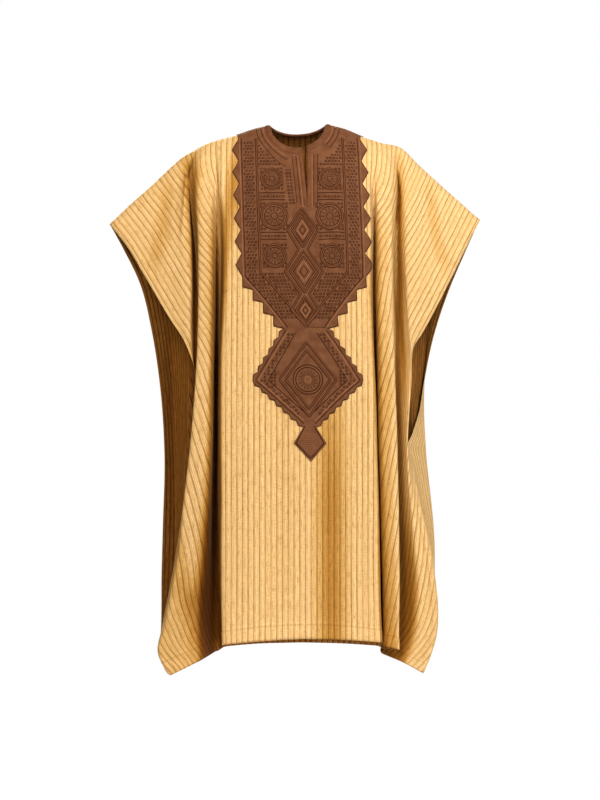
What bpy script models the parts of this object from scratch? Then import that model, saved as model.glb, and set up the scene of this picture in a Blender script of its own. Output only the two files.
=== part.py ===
"""A grand boubou robe, worn by nobody: two wide cloth panels that meet along the
shoulder and hang as deep pipe folds, with a toothed brown yoke, a pendant below
it, and bound neck and slit.

Axes: +X to the viewer's right, -Y to the front, +Z up. The origin is the middle
of the shoulder line, where a wearer holds the robe up. Tables are in millimetres
and become metres when a mesh is made.
"""

import math

import bmesh
import bpy
import numpy as np

# ---------------------------------------------------------------- sizes, in mm
MM = 0.001
LENGTH = 1250.0          # cloth from the shoulder line down to the hem
WALL = 2.0               # thickness of the striped cloth
SEAM_GAP = 0.3           # between pieces that are sewn together
LIE_GAP = 0.35           # between a panel and what is sewn on it
APPLIQUE = 1.8           # thickness of the brown applique
BINDING = 1.6            # thickness of the neck and slit bindings
ROWS = 25                # mesh rows from shoulder to hem
ROW_CROWDING = 0.62      # 0 spreads the rows evenly, towards 1 crowds both ends
SHOULDER_FADE = 120.0    # how far down the shoulder curve shapes the cloth

NECK_CENTRE = -5.0
NECK_HALF_WIDTH = 66.0
NECK_FRONT = 74.0        # how far the neck hole reaches forwards
NECK_BACK = 42.0
NECK_POINTS = 44         # corners of the neck hole's outline
BINDING_WIDTH = 10.0

SLIT_TOP_WIDTH = 18.0
SLIT_CENTRE_TOP = 8.0
SLIT_TOP = -20.0
SLIT_FOOT = (17.0, -182.0)
SLIT_BINDING = 8.0       # width of the band beside the slit
SLIT_BINDING_FOOT = 0.35 # share of that width left at the band's pointed foot

YOKE_AXIS_LEAN = -0.036  # the embroidery's axis moves across as it goes down
YOKE_AXIS_START = -3.0
YOKE_HALF_WIDTH = 158.0
YOKE_TOP = -26.0         # the first tooth's top
YOKE_SIDE_FOOT = -352.0  # the height where the straight toothed sides end
YOKE_WAIST_HALF = 52.0
YOKE_FOOT = -472.0
TOOTH_PITCH = 54.0
TOOTH_DEPTH = 15.0
WAIST_TOOTH_PITCH = 38.0

PENDANT_HALF_WIDTH = 128.0
PENDANT_WIDEST = -592.0
PENDANT_NECK_HALF = 15.0
PENDANT_NECK = -700.0
DROP_HALF_WIDTH = 38.0   # the small lozenge that ends the pendant
DROP_WIDEST = -737.0
DROP_TIP = -780.0
SMALL_TOOTH_PITCH = 24.0
SMALL_TOOTH_DEPTH = 6.0

BACK_YOKE_HALF_WIDTH = 150.0
BACK_YOKE_SIDE = -26.0   # height of the back yoke's edge at its sides
BACK_YOKE_FOOT = -78.0   # and in its middle
BACK_YOKE_STEPS = 8      # edges in each half of that curve

# How much of a panel's middle each sewn-on piece is made from, before it is cut
# to its outline: mesh columns each side of the centre, and distances down.
YOKE_COLUMNS = 9
YOKE_CLOTH = 560.0
PENDANT_CLOTH = (440.0, 880.0)
BACK_YOKE_CLOTH = 240.0
NECK_COLUMNS = 4
NECK_CLOTH = 160.0

# How far the cutters reach: up or down past the shoulder, and to each side of it.
ABOVE = 60.0
NECK_CUT_DEPTH = -160.0
FRONT_REACH = -260.0
BREAST = -30.0           # a cutter for the front only starts this far forwards
OVER_SHOULDER = 20.0
BACK_REACH = 260.0

JOIN_LEFT = 1120.0       # below this the front and back are sewn at the side
JOIN_RIGHT = 610.0

# ------------------------------------------------------------------ the folds
# A fold is a line down the cloth. Each row of its table is: the distance down
# the flat cloth, then where that point hangs (across, depth, height).
CENTRE_FRONT = (
    (0, 5, 0, 12), (40, 5, -36, -14), (90, 5, -74, -49), (160, 5, -110, -110),
    (240, 5, -130, -188), (350, 5, -138, -297), (600, 5, -141, -547),
    (900, 5, -144, -845), (1250, 5, -148, -1189),
)
FRONT_LEFT = {
    "chest": (
        (0, -102, 0, 3), (40, -101, -35, -22), (90, -100, -72, -56),
        (160, -100, -107, -117), (240, -100, -127, -195), (350, -97, -136, -302),
        (600, -97, -140, -552), (900, -97, -143, -850), (1250, -95, -148, -1194),
    ),
    "panel_edge": (
        (0, -187, 0, -22), (50, -188, -40, -43), (100, -188, -74, -84),
        (160, -187, -102, -140), (250, -181, -122, -227), (400, -179, -131, -376),
        (600, -185, -135, -572), (850, -185, -138, -820), (1100, -183, -142, -1067),
        (1250, -179, -146, -1203),
    ),
    "recess": (
        (0, -198, 0, -26), (50, -198, -38, -48), (100, -196, -68, -88),
        (160, -195, -84, -143), (250, -192, -84, -232), (400, -192, -72, -380),
        (600, -195, -64, -579), (850, -196, -62, -831), (1100, -190, -58, -1087),
        (1250, -171, -50, -1230),
    ),
    "column_in": (
        (0, -210, 0, -30), (50, -209, -40, -53), (100, -208, -70, -93),
        (160, -205, -94, -151), (250, -202, -109, -240), (400, -201, -118, -389),
        (600, -203, -122, -589), (850, -211, -121, -839), (1100, -228, -108, -1090),
        (1250, -238, -92, -1247),
    ),
    "column_out": (
        (0, -241, 0, -42), (50, -242, -42, -69), (100, -242, -70, -109),
        (160, -241, -92, -167), (250, -239, -106, -258), (400, -237, -113, -407),
        (600, -245, -117, -607), (700, -252, -117, -707), (850, -269, -112, -858),
        (1000, -288, -103, -1014), (1120, -314, -90, -1154), (1190, -329, -82, -1225),
        (1250, -301, -82, -1279),
    ),
    "arm_recess": (
        (0, -267, 0, -59), (50, -267, -30, -101), (100, -262, -46, -140),
        (180, -252, -52, -220), (270, -243, -50, -314), (400, -236, -48, -455),
        (500, -235, -54, -562), (600, -241, -62, -660), (700, -254, -60, -754),
        (850, -273, -58, -909), (1000, -295, -56, -1049), (1120, -321, -56, -1169),
        (1190, -331, -66, -1229), (1250, -307, -74, -1276),
    ),
    "sleeve": (
        (0, -281, 0, -68), (50, -266, -38, -116), (100, -258, -64, -177),
        (195, -256, -92, -302), (265, -256, -99, -395), (330, -257, -100, -474),
        (400, -250, -92, -537), (500, -244, -60, -622), (600, -253, -28, -712),
        (700, -264, -8, -800), (850, -279, 5, -944), (1000, -300, -8, -1076),
        (1120, -325, -24, -1178), (1190, -332, -50, -1228), (1250, -312, -65, -1272),
    ),
    "side": (
        (0, -449, 0, -223), (75, -407, -38, -276), (170, -360, -65, -353),
        (285, -301, -86, -451), (345, -270, -93, -498), (412, -247, -95, -563),
        (500, -248, -60, -642), (600, -257, -15, -731), (700, -267, 10, -822),
        (800, -280, 26, -915), (900, -294, 28, -1007), (1000, -310, 12, -1096),
        (1100, -326, 0, -1180), (1190, -331, -36, -1227), (1250, -316, -58, -1267),
    ),
}
FRONT_RIGHT = {
    "chest": (
        (0, 102, 0, 2), (40, 101, -35, -22), (90, 100, -72, -56),
        (160, 100, -107, -117), (240, 100, -127, -195), (350, 102, -136, -302),
        (600, 104, -140, -552), (900, 104, -143, -850), (1250, 106, -148, -1191),
    ),
    "panel_edge": (
        (0, 161, 0, -20), (50, 160, -40, -43), (100, 160, -74, -84),
        (160, 160, -102, -140), (250, 165, -122, -227), (400, 163, -131, -378),
        (600, 171, -135, -572), (850, 180, -138, -822), (1100, 184, -142, -1069),
        (1250, 187, -146, -1197),
    ),
    "recess": (
        (0, 175, 0, -25), (50, 173, -38, -48), (100, 171, -68, -88),
        (160, 171, -82, -143), (250, 173, -78, -231), (400, 173, -76, -383),
        (600, 177, -76, -579), (850, 184, -78, -831), (1100, 190, -82, -1078),
        (1250, 193, -88, -1206),
    ),
    "column_in": (
        (0, 189, 0, -30), (50, 187, -40, -53), (100, 182, -70, -93),
        (160, 179, -92, -151), (250, 178, -107, -240), (400, 179, -117, -391),
        (600, 180, -121, -586), (850, 186, -124, -836), (1100, 192, -127, -1082),
        (1250, 192, -128, -1207),
    ),
    "column_out": (
        (0, 215, 0, -37), (50, 215, -41, -65), (100, 213, -70, -109),
        (160, 212, -91, -164), (250, 213, -106, -256), (400, 214, -114, -407),
        (600, 222, -119, -605), (850, 230, -123, -855), (1100, 233, -127, -1098),
        (1250, 234, -128, -1216),
    ),
    "arm_recess": (
        (0, 233, 0, -43), (50, 234, -34, -92), (100, 233, -52, -136),
        (180, 230, -62, -211), (270, 228, -64, -298), (400, 225, -66, -431),
        (600, 224, -66, -633), (850, 224, -64, -883), (1100, 213, -66, -1119),
        (1250, 188, -72, -1223),
    ),
    "sleeve": (
        (0, 257, 0, -57), (50, 252, -42, -116), (100, 249, -68, -184),
        (185, 248, -92, -293), (270, 251, -103, -405), (345, 257, -107, -507),
        (420, 260, -106, -586), (500, 255, -108, -656), (600, 251, -108, -737),
        (700, 255, -109, -828), (850, 267, -111, -958), (1000, 274, -113, -1083),
        (1120, 267, -113, -1176), (1250, 239, -108, -1246),
    ),
    "side": (
        (0, 424, 0, -213), (80, 387, -40, -285), (170, 353, -66, -353),
        (320, 282, -90, -485), (360, 265, -92, -511), (440, 255, -62, -590),
        (530, 248, -50, -672), (610, 251, -55, -747), (660, 261, -66, -787),
        (740, 274, -82, -852), (830, 290, -92, -928), (910, 305, -98, -991),
        (980, 314, -100, -1056), (1050, 320, -100, -1121), (1130, 316, -98, -1189),
        (1190, 302, -97, -1235), (1250, 286, -95, -1273),
    ),
}
CENTRE_BACK = (
    (0, 5, 0, 12), (50, 5, 45, -10), (100, 5, 84, -41), (160, 5, 110, -95),
    (250, 5, 123, -184), (400, 5, 130, -334), (700, 5, 134, -642),
    (1000, 5, 138, -950), (1250, 5, 142, -1222),
)
BACK_LEFT = {
    "chest": (
        (0, -102, 0, 3), (50, -101, 45, -16), (100, -100, 85, -46),
        (160, -100, 112, -99), (250, -100, 125, -187), (400, -100, 131, -336),
        (700, -100, 133, -644), (1000, -100, 136, -952), (1250, -100, 140, -1224),
    ),
    "panel_edge": (
        (0, -178, 0, -20), (50, -178, 43, -40), (100, -177, 80, -72),
        (160, -176, 104, -126), (250, -175, 118, -213), (400, -174, 127, -362),
        (700, -176, 132, -666), (1000, -180, 138, -970), (1250, -182, 146, -1232),
    ),
    "recess": (
        (0, -198, 0, -26), (50, -198, 42, -48), (100, -197, 74, -82),
        (160, -196, 88, -136), (250, -194, 84, -224), (400, -192, 78, -372),
        (700, -194, 74, -676), (1000, -198, 76, -976), (1250, -200, 84, -1238),
    ),
    "column_in": (
        (0, -216, 0, -31), (50, -216, 42, -54), (100, -215, 76, -90),
        (160, -214, 98, -146), (250, -214, 112, -234), (400, -215, 122, -382),
        (700, -224, 128, -684), (1000, -234, 128, -984), (1250, -244, 128, -1248),
    ),
    "arm_recess": (
        (0, -258, 0, -53), (50, -257, 40, -80), (100, -255, 66, -118),
        (160, -254, 82, -172), (250, -255, 88, -262), (400, -259, 88, -412),
        (700, -268, 82, -704), (1000, -280, 84, -1000), (1250, -288, 92, -1258),
    ),
    "sleeve": (
        (0, -340, 0, -122), (75, -335, 42, -190), (170, -326, 74, -290),
        (285, -316, 95, -409), (400, -308, 106, -526), (600, -300, 112, -728),
        (800, -298, 106, -924), (950, -299, 92, -1069), (1100, -303, 72, -1199),
        (1250, -306, 34, -1273),
    ),
    "side": (
        (0, -449, 0, -223), (75, -418, 38, -281), (170, -380, 62, -363),
        (285, -354, 80, -472), (400, -337, 88, -582), (600, -324, 92, -766),
        (800, -327, 78, -938), (950, -329, 54, -1066), (1050, -328, 30, -1140),
        (1105, -328, 10, -1182),
    ),
}
BACK_RIGHT = {
    "chest": (
        (0, 102, 0, 2), (50, 101, 45, -16), (100, 100, 85, -46),
        (160, 100, 112, -99), (250, 100, 125, -187), (400, 102, 131, -336),
        (700, 104, 133, -644), (1000, 106, 136, -952), (1250, 106, 140, -1224),
    ),
    "panel_edge": (
        (0, 168, 0, -22), (50, 168, 43, -42), (100, 168, 80, -74),
        (160, 168, 104, -128), (250, 170, 118, -215), (400, 172, 127, -364),
        (700, 176, 131, -668), (1000, 182, 136, -972), (1250, 188, 142, -1230),
    ),
    "recess": (
        (0, 186, 0, -28), (50, 186, 42, -50), (100, 186, 74, -84),
        (160, 186, 86, -138), (250, 186, 80, -226), (400, 188, 74, -374),
        (700, 194, 72, -676), (1000, 200, 76, -976), (1250, 206, 86, -1236),
    ),
    "column_in": (
        (0, 204, 0, -34), (50, 204, 42, -57), (100, 203, 76, -93),
        (160, 203, 98, -149), (250, 205, 112, -237), (400, 208, 121, -385),
        (700, 220, 127, -686), (1000, 232, 130, -986), (1250, 242, 130, -1246),
    ),
    "arm_recess": (
        (0, 246, 0, -48), (50, 245, 40, -80), (100, 243, 66, -120),
        (160, 242, 82, -176), (250, 243, 88, -266), (400, 248, 86, -416),
        (700, 258, 80, -706), (1000, 266, 78, -1000), (1250, 268, 78, -1256),
    ),
    "sleeve": (
        (0, 350, 0, -146), (75, 338, 42, -222), (170, 322, 72, -322),
        (285, 308, 92, -437), (400, 301, 100, -552), (500, 298, 92, -654),
        (610, 302, 54, -761), (740, 310, 16, -874), (830, 315, -12, -944),
        (910, 317, -34, -1001), (1000, 316, -52, -1078), (1100, 311, -60, -1164),
        (1180, 297, -62, -1227), (1250, 281, -62, -1269),
    ),
    "side": (
        (0, 424, 0, -213), (75, 392, 36, -286), (170, 353, 62, -380),
        (285, 318, 80, -489), (400, 296, 76, -594), (480, 284, 46, -660),
        (560, 264, -6, -718),
    ),
}
# The shoulder line, from the left sleeve corner over the neck to the right one.
SHOULDER = (  # across, height
    (-449, -223), (-406, -181), (-340, -122), (-307, -90), (-274, -62), (-254, -51),
    (-227, -35), (-187, -22), (-154, -14), (-102, 3), (-71, 9), (5, 12), (61, 11),
    (102, 2), (151, -18), (189, -30), (243, -46), (276, -79), (326, -125),
    (392, -184), (424, -213),
)
# How the cloth turns at each fold: half the width of a recess's floor, how far
# from the fold the turn starts, mesh points in the turn, and mesh points on the
# flat stretch before it.
TURNS = {
    "chest": (0, 30, 2, 2),
    "panel_edge": (0, 11, 3, 1),
    "recess": (6, 5, 1, 0),
    "column_in": (0, 9, 3, 0),
    "column_out": (0, 12, 3, 0),
    "arm_recess": (7, 7, 1, 0),
    "sleeve": (0, 18, 3, 0),
    "side": (0, 0, 1, 3),
}

STRIPED_CLOTH = ((0.72, 0.47, 0.19), 0.62)   # colour and roughness
BROWN_APPLIQUE = ((0.145, 0.062, 0.033), 0.55)
BROWN_BINDING = ((0.100, 0.042, 0.024), 0.5)


# ------------------------------------------------------------------- the scene
def clear_scene():
    for obj in list(bpy.data.objects):
        bpy.data.objects.remove(obj, do_unlink=True)


def material(name, finish):
    colour, roughness = finish
    made = bpy.data.materials.new(name)
    made.use_nodes = True
    shader = made.node_tree.nodes["Principled BSDF"]
    shader.inputs["Base Color"].default_value = (*colour, 1.0)
    shader.inputs["Roughness"].default_value = roughness
    shader.inputs["Metallic"].default_value = 0.0
    made.diffuse_color = (*colour, 1.0)
    return made


def object_from(name, mesh, finish=None):
    obj = bpy.data.objects.new(name, mesh)
    bpy.context.scene.collection.objects.link(obj)
    if finish is None:
        obj.hide_render = True
        obj.display_type = "WIRE"
    else:
        mesh.materials.append(material(name, finish))
    return obj


# -------------------------------------------------------- from folds to a sheet
def rows_down():
    """Distances down the cloth of the mesh rows, closer at shoulder and hem."""
    t = np.linspace(0.0, 1.0, ROWS)
    return LENGTH * (t - ROW_CROWDING * np.sin(2 * math.pi * t) / (2 * math.pi))


def smooth_between(place, values, slope, wanted):
    """A smooth curve through the values at each place, read at the wanted places."""
    k = np.clip(np.searchsorted(place, wanted) - 1, 0, len(place) - 2)
    width = (place[k + 1] - place[k])[:, None]
    t = (wanted - place[k])[:, None] / width
    return (
        (2 * t**3 - 3 * t**2 + 1) * values[k]
        + (t**3 - 2 * t**2 + t) * width * slope[k]
        + (3 * t**2 - 2 * t**3) * values[k + 1]
        + (t**3 - t**2) * width * slope[k + 1]
    )


def along(table, down, start=None):
    """Points of a fold at each distance down the cloth, from its table."""
    knots = np.array(table, float)
    place, points = knots[:, 0], knots[:, 1:]
    slope = np.gradient(points, place, axis=0)
    if start is not None:
        slope[0] = start
    return smooth_between(place, points, slope, down)


def shoulder_height(across):
    x, z = np.array(SHOULDER, float).T
    slope = np.gradient(z, x)
    return smooth_between(x, z[:, None], slope[:, None], across)[:, 0]


def corners_of(fold_points):
    """The corners of one section: a crest gives one, a recess the two ends of its floor."""
    names = list(fold_points)
    corners = []
    for i, name in enumerate(names):
        point = fold_points[name]
        floor, turn, arc, before = TURNS.get(name, (0, 0, 1, 0))
        if floor:
            back = fold_points[names[i - 1]] - point
            ahead = fold_points[names[i + 1]] - point
            way = fold_points[names[i + 1]] - fold_points[names[i - 1]]
            room = 0.25 * min(np.linalg.norm(back), np.linalg.norm(ahead))
            step = way / np.linalg.norm(way) * min(floor, room)
            corners.append((point - step, turn, arc, before))
            corners.append((point + step, turn, arc, 0))
        else:
            corners.append((point, turn, arc, before))
    return corners


def section(fold_points):
    """Mesh points across half a panel, centre to side, with each corner rounded."""
    corners = corners_of(fold_points)
    made = [corners[0][0]]
    for i in range(1, len(corners)):
        point, turn, arc, before = corners[i]
        if i == len(corners) - 1:
            start, arc_points = point, [point]
        else:
            back = corners[i - 1][0] - point
            ahead = corners[i + 1][0] - point
            reach = min(
                turn, 0.45 * np.linalg.norm(back), 0.45 * np.linalg.norm(ahead)
            )
            start = point + back / np.linalg.norm(back) * reach
            end = point + ahead / np.linalg.norm(ahead) * reach
            ts = [0.5] if arc == 1 else np.linspace(0.0, 1.0, arc)
            arc_points = [
                (1 - t) ** 2 * start + 2 * t * (1 - t) * point + t**2 * end for t in ts
            ]
        last = made[-1]
        for j in range(before):
            made.append(last + (arc_points[0] - last) * (j + 1) / (before + 1))
        made.extend(arc_points)
    return np.array(made)


def half_panel(centre, folds, forwards, down, sewn_to=None):
    """Mesh points of half a panel: rows down the cloth, columns from centre to side.

    sewn_to is the fold table of the other panel's side edge and the distance down
    from which this panel's side edge follows it.
    """
    start = np.array((0.0, -1.0 if forwards else 1.0, 0.0))
    lines = {"centre": along(centre, down, start)}
    for name, table in folds.items():
        lines[name] = along(table, down, start)
    if sewn_to:
        other, join = sewn_to
        sewn = down >= join
        own = tuple(folds["side"]) + tuple(row for row in other if row[0] >= join)
        lines["side"] = along(own, down, start)
        lines["side"][sewn] = along(other, down)[sewn]
    grid = np.array(
        [section({k: line[r] for k, line in lines.items()}) for r in range(len(down))]
    )
    lift = shoulder_height(grid[0, :, 0]) - grid[0, :, 2]
    fade = np.clip(1.0 - down / SHOULDER_FADE, 0.0, 1.0) ** 2
    grid[:, :, 2] += fade[:, None] * lift[None, :]
    return grid


def front_sheet(down):
    left = half_panel(CENTRE_FRONT, FRONT_LEFT, True, down)
    right = half_panel(CENTRE_FRONT, FRONT_RIGHT, True, down)
    return np.concatenate([left[:, :0:-1], right], axis=1)


def back_sheet(down):
    left = half_panel(
        CENTRE_BACK, BACK_LEFT, False, down, (FRONT_LEFT["side"], JOIN_LEFT)
    )
    right = half_panel(
        CENTRE_BACK, BACK_RIGHT, False, down, (FRONT_RIGHT["side"], JOIN_RIGHT)
    )
    return np.concatenate([left[:, :0:-1], right], axis=1)


def unit(vectors):
    return vectors / np.linalg.norm(vectors, axis=-1, keepdims=True)


def outward_normals(grid, forwards):
    across = np.gradient(grid, axis=1)
    downwards = np.gradient(grid, axis=0)
    normal = np.cross(downwards, across) if forwards else np.cross(across, downwards)
    normal[0, :, 1] = 0.0
    return unit(normal)


def share_seam_normals(front, back, join_rows):
    """Makes both walls end on the same plane where they are sewn at the side."""
    for column, rows in join_rows.items():
        both = unit(front[rows, column] + back[rows, column])
        front[rows, column] = both
        back[rows, column] = both


def part_seams(grid, normals, join_rows, forwards):
    """Pulls the sewn edges back by half the seam gap."""
    moved = grid.copy()
    moved[0, :, 1] += -SEAM_GAP / 2 if forwards else SEAM_GAP / 2
    for column, rows in join_rows.items():
        inner = 1 if column == 0 else -2
        inwards = grid[rows, inner] - grid[rows, column]
        along_seam = np.gradient(grid[:, column], axis=0)[rows]
        way = unit(np.cross(along_seam, normals[rows, column]))
        way *= np.sign(np.sum(way * inwards, axis=1, keepdims=True))
        moved[rows, column] += way * SEAM_GAP / 2
    return moved


# ------------------------------------------------------------- walls and cutters
def wall_mesh(name, inner, outer, forwards):
    """A closed wall between two grids of points."""
    rows, columns = inner.shape[:2]
    shape = bmesh.new()
    layers = [
        [[shape.verts.new(grid[r, c] * MM) for c in range(columns)] for r in range(rows)]
        for grid in (inner, outer)
    ]
    for side, layer in enumerate(layers):
        for r in range(rows - 1):
            for c in range(columns - 1):
                a, b = layer[r][c], layer[r][c + 1]
                d, e = layer[r + 1][c], layer[r + 1][c + 1]
                faces_out = (side == 1) == forwards
                for corner in ((a, d, e), (a, e, b)):
                    shape.faces.new(corner if faces_out else corner[::-1])
    low, high = layers
    rim = [(0, c) for c in range(columns)]
    rim += [(r, columns - 1) for r in range(1, rows)]
    rim += [(rows - 1, c) for c in range(columns - 2, -1, -1)]
    rim += [(r, 0) for r in range(rows - 2, 0, -1)]
    for (r0, c0), (r1, c1) in zip(rim, rim[1:] + rim[:1]):
        side = (low[r0][c0], low[r1][c1], high[r1][c1], high[r0][c0])
        shape.faces.new(side if forwards else side[::-1])
    bmesh.ops.recalc_face_normals(shape, faces=shape.faces)
    mesh = bpy.data.meshes.new(name)
    shape.to_mesh(mesh)
    shape.free()
    mesh.shade_smooth()
    return mesh


def wall(name, grid, normals, near, far, forwards, finish):
    inner = grid + normals * near
    outer = grid + normals * far
    return object_from(name, wall_mesh(name, inner, outer, forwards), finish)


def prism(name, outline, low, high, upright):
    """A cutter: an outline in plan (upright) or in front view, made a thick block."""
    shape = bmesh.new()
    if upright:
        ring = [shape.verts.new((x * MM, y * MM, low * MM)) for x, y in outline]
        push = (0.0, 0.0, (high - low) * MM)
    else:
        ring = [shape.verts.new((x * MM, low * MM, z * MM)) for x, z in outline]
        push = (0.0, (high - low) * MM, 0.0)
    face = shape.faces.new(ring)
    grown = bmesh.ops.extrude_face_region(shape, geom=[face])["geom"]
    tops = [v for v in grown if isinstance(v, bmesh.types.BMVert)]
    bmesh.ops.translate(shape, verts=tops, vec=push)
    bmesh.ops.recalc_face_normals(shape, faces=shape.faces)
    mesh = bpy.data.meshes.new(name)
    shape.to_mesh(mesh)
    shape.free()
    return object_from(name, mesh)


def cut(obj, cutter, operation="DIFFERENCE"):
    modifier = obj.modifiers.new(cutter.name, "BOOLEAN")
    modifier.operation = operation
    modifier.object = cutter


def neck_outline(extra=0.0):
    """The neck hole in plan: a half ellipse forwards and a flatter one backwards."""
    points = []
    for i in range(NECK_POINTS):
        angle = 2 * math.pi * i / NECK_POINTS
        reach = NECK_FRONT if math.sin(angle) < 0 else NECK_BACK
        x = NECK_CENTRE + (NECK_HALF_WIDTH + extra) * math.cos(angle)
        points.append((x, (reach + extra) * math.sin(angle)))
    return points


def slit_outline(extra=0.0):
    """The slit in front view: open at the neck and pointed at its foot."""
    half = SLIT_TOP_WIDTH / 2 + extra
    x, z = SLIT_FOOT
    foot = SLIT_BINDING_FOOT * extra
    return (
        (SLIT_CENTRE_TOP - half, SLIT_TOP),
        (x - foot, z - extra),
        (x + foot, z - extra),
        (SLIT_CENTRE_TOP + half, SLIT_TOP),
    )


def axis_at(height):
    return YOKE_AXIS_START + YOKE_AXIS_LEAN * height


def toothed(start, end, pitch, depth):
    """A run of pointed teeth down the left side of an outline, standing outwards."""
    start, end = np.array(start, float), np.array(end, float)
    run = np.linalg.norm(end - start)
    count = max(1, round(run / pitch))
    way = (end - start) / run
    out = np.array((way[1], -way[0])) * depth
    points = []
    for i in range(count):
        points.append(tuple(start + way * run * i / count))
        points.append(tuple(start + way * run * (i + 0.5) / count + out))
    return points


def mirrored(left_points):
    """The whole outline from its left side, turned about the leaning axis."""
    left = [(axis_at(z) + x, z) for x, z in left_points]
    right = [(axis_at(z) - x, z) for x, z in reversed(left_points)]
    return left + right


def yoke_outline():
    side = YOKE_HALF_WIDTH - TOOTH_DEPTH
    points = [(-YOKE_HALF_WIDTH, ABOVE), (-YOKE_HALF_WIDTH, YOKE_TOP + TOOTH_DEPTH / 2)]
    shoulder, hip = (-side, YOKE_TOP), (-side, YOKE_SIDE_FOOT)
    waist = (-YOKE_WAIST_HALF, YOKE_FOOT)
    points += toothed(shoulder, hip, TOOTH_PITCH, TOOTH_DEPTH)
    points += toothed(hip, waist, WAIST_TOOTH_PITCH, TOOTH_DEPTH)
    return mirrored(points + [waist])


def pendant_outline():
    """Two lozenges, a large one and a small one, below the yoke's waist."""
    waist = (-YOKE_WAIST_HALF, YOKE_FOOT - SEAM_GAP)
    widest = (-PENDANT_HALF_WIDTH, PENDANT_WIDEST)
    neck = (-PENDANT_NECK_HALF, PENDANT_NECK)
    drop = (-DROP_HALF_WIDTH, DROP_WIDEST)
    points = toothed(waist, widest, SMALL_TOOTH_PITCH, SMALL_TOOTH_DEPTH)
    points += toothed(widest, neck, SMALL_TOOTH_PITCH, SMALL_TOOTH_DEPTH)
    points += [neck, drop]
    outline = mirrored(points)
    middle = len(points)
    return outline[:middle] + [(axis_at(DROP_TIP), DROP_TIP)] + outline[middle:]


def back_yoke_outline():
    """A shallow curve across the back, level in its middle."""
    left = [(-BACK_YOKE_HALF_WIDTH, ABOVE)]
    for i in range(BACK_YOKE_STEPS + 1):
        t = i / BACK_YOKE_STEPS
        drop = (BACK_YOKE_FOOT - BACK_YOKE_SIDE) * math.sin(t * math.pi / 2)
        left.append((-BACK_YOKE_HALF_WIDTH * (1 - t), BACK_YOKE_SIDE + drop))
    right = [(-x, z) for x, z in reversed(left[:-1])]
    return left + right


# ------------------------------------------------------------------- the pieces
def central(grid, columns):
    middle = grid.shape[1] // 2
    return grid[:, middle - columns : middle + columns + 1]


def sewn_rows(down):
    return {
        0: np.flatnonzero(down >= JOIN_LEFT),
        -1: np.flatnonzero(down >= JOIN_RIGHT),
    }


def rows_to(down, cloth):
    return int(np.searchsorted(down, cloth))


def main():
    clear_scene()
    down = rows_down()
    front, back = front_sheet(down), back_sheet(down)
    sewn = sewn_rows(down)
    front_normals = outward_normals(front, True)
    back_normals = outward_normals(back, False)
    share_seam_normals(front_normals, back_normals, sewn)
    front = part_seams(front, front_normals, sewn, True)
    back = part_seams(back, back_normals, sewn, False)

    # The two panels, open at the neck and down the slit.
    half = WALL / 2
    front_panel = wall("front_panel", front, front_normals, -half, half, True, STRIPED_CLOTH)
    back_panel = wall("back_panel", back, back_normals, -half, half, False, STRIPED_CLOTH)
    neck = prism("neck_cutter", neck_outline(), NECK_CUT_DEPTH, ABOVE, True)
    slit = prism("slit_cutter", slit_outline(), FRONT_REACH, BREAST, False)
    cut(front_panel, neck)
    cut(back_panel, neck)
    cut(front_panel, slit)

    # The brown applique lies on the panels and is made from their points.
    low = half + LIE_GAP
    rows = rows_to(down, YOKE_CLOTH)
    breast = central(front, YOKE_COLUMNS)
    breast_normals = central(front_normals, YOKE_COLUMNS)
    yoke = wall(
        "front_yoke", breast[:rows], breast_normals[:rows],
        low, low + APPLIQUE, True, BROWN_APPLIQUE,
    )
    yoke_edge = prism("yoke_outline", yoke_outline(), FRONT_REACH, OVER_SHOULDER, False)
    cut(yoke, yoke_edge, "INTERSECT")
    cut(yoke, neck)
    cut(yoke, slit)

    belly = slice(*(rows_to(down, cloth) for cloth in PENDANT_CLOTH))
    pendant = wall(
        "pendant", breast[belly], breast_normals[belly],
        low, low + APPLIQUE, True, BROWN_APPLIQUE,
    )
    pendant_edge = prism("pendant_outline", pendant_outline(), FRONT_REACH, BREAST, False)
    cut(pendant, pendant_edge, "INTERSECT")

    nape = central(back, YOKE_COLUMNS)[: rows_to(down, BACK_YOKE_CLOTH)]
    nape_normals = central(back_normals, YOKE_COLUMNS)[: len(nape)]
    back_yoke = wall(
        "back_yoke", nape, nape_normals, low, low + APPLIQUE, False, BROWN_APPLIQUE
    )
    back_edge = prism(
        "back_yoke_outline", back_yoke_outline(), -OVER_SHOULDER, BACK_REACH, False
    )
    cut(back_yoke, back_edge, "INTERSECT")
    cut(back_yoke, neck)

    # The bindings lie on the yokes: one ring round the neck and a band down the slit.
    top = low + APPLIQUE + LIE_GAP
    rows = rows_to(down, NECK_CLOTH)
    ring, ring_normals = (
        np.concatenate([behind[rows:0:-1], before[:rows]])
        for behind, before in (
            (central(back, NECK_COLUMNS), central(front, NECK_COLUMNS)),
            (central(back_normals, NECK_COLUMNS), central(front_normals, NECK_COLUMNS)),
        )
    )
    binding = wall(
        "neck_binding", ring, ring_normals, top, top + BINDING, True, BROWN_BINDING
    )
    wide = prism("binding_outline", neck_outline(BINDING_WIDTH), NECK_CUT_DEPTH, ABOVE, True)
    cut(binding, wide, "INTERSECT")
    cut(binding, neck)
    cut(binding, slit)

    rows = rows_to(down, YOKE_CLOTH)
    band = wall(
        "slit_binding", breast[:rows], breast_normals[:rows],
        top, top + BINDING, True, BROWN_BINDING,
    )
    broad = prism("slit_band", slit_outline(SLIT_BINDING), FRONT_REACH, BREAST, False)
    clear = prism(
        "binding_clearance", neck_outline(BINDING_WIDTH + SEAM_GAP),
        NECK_CUT_DEPTH, ABOVE, True,
    )
    cut(band, broad, "INTERSECT")
    cut(band, clear)
    cut(band, slit)


main()
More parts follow.
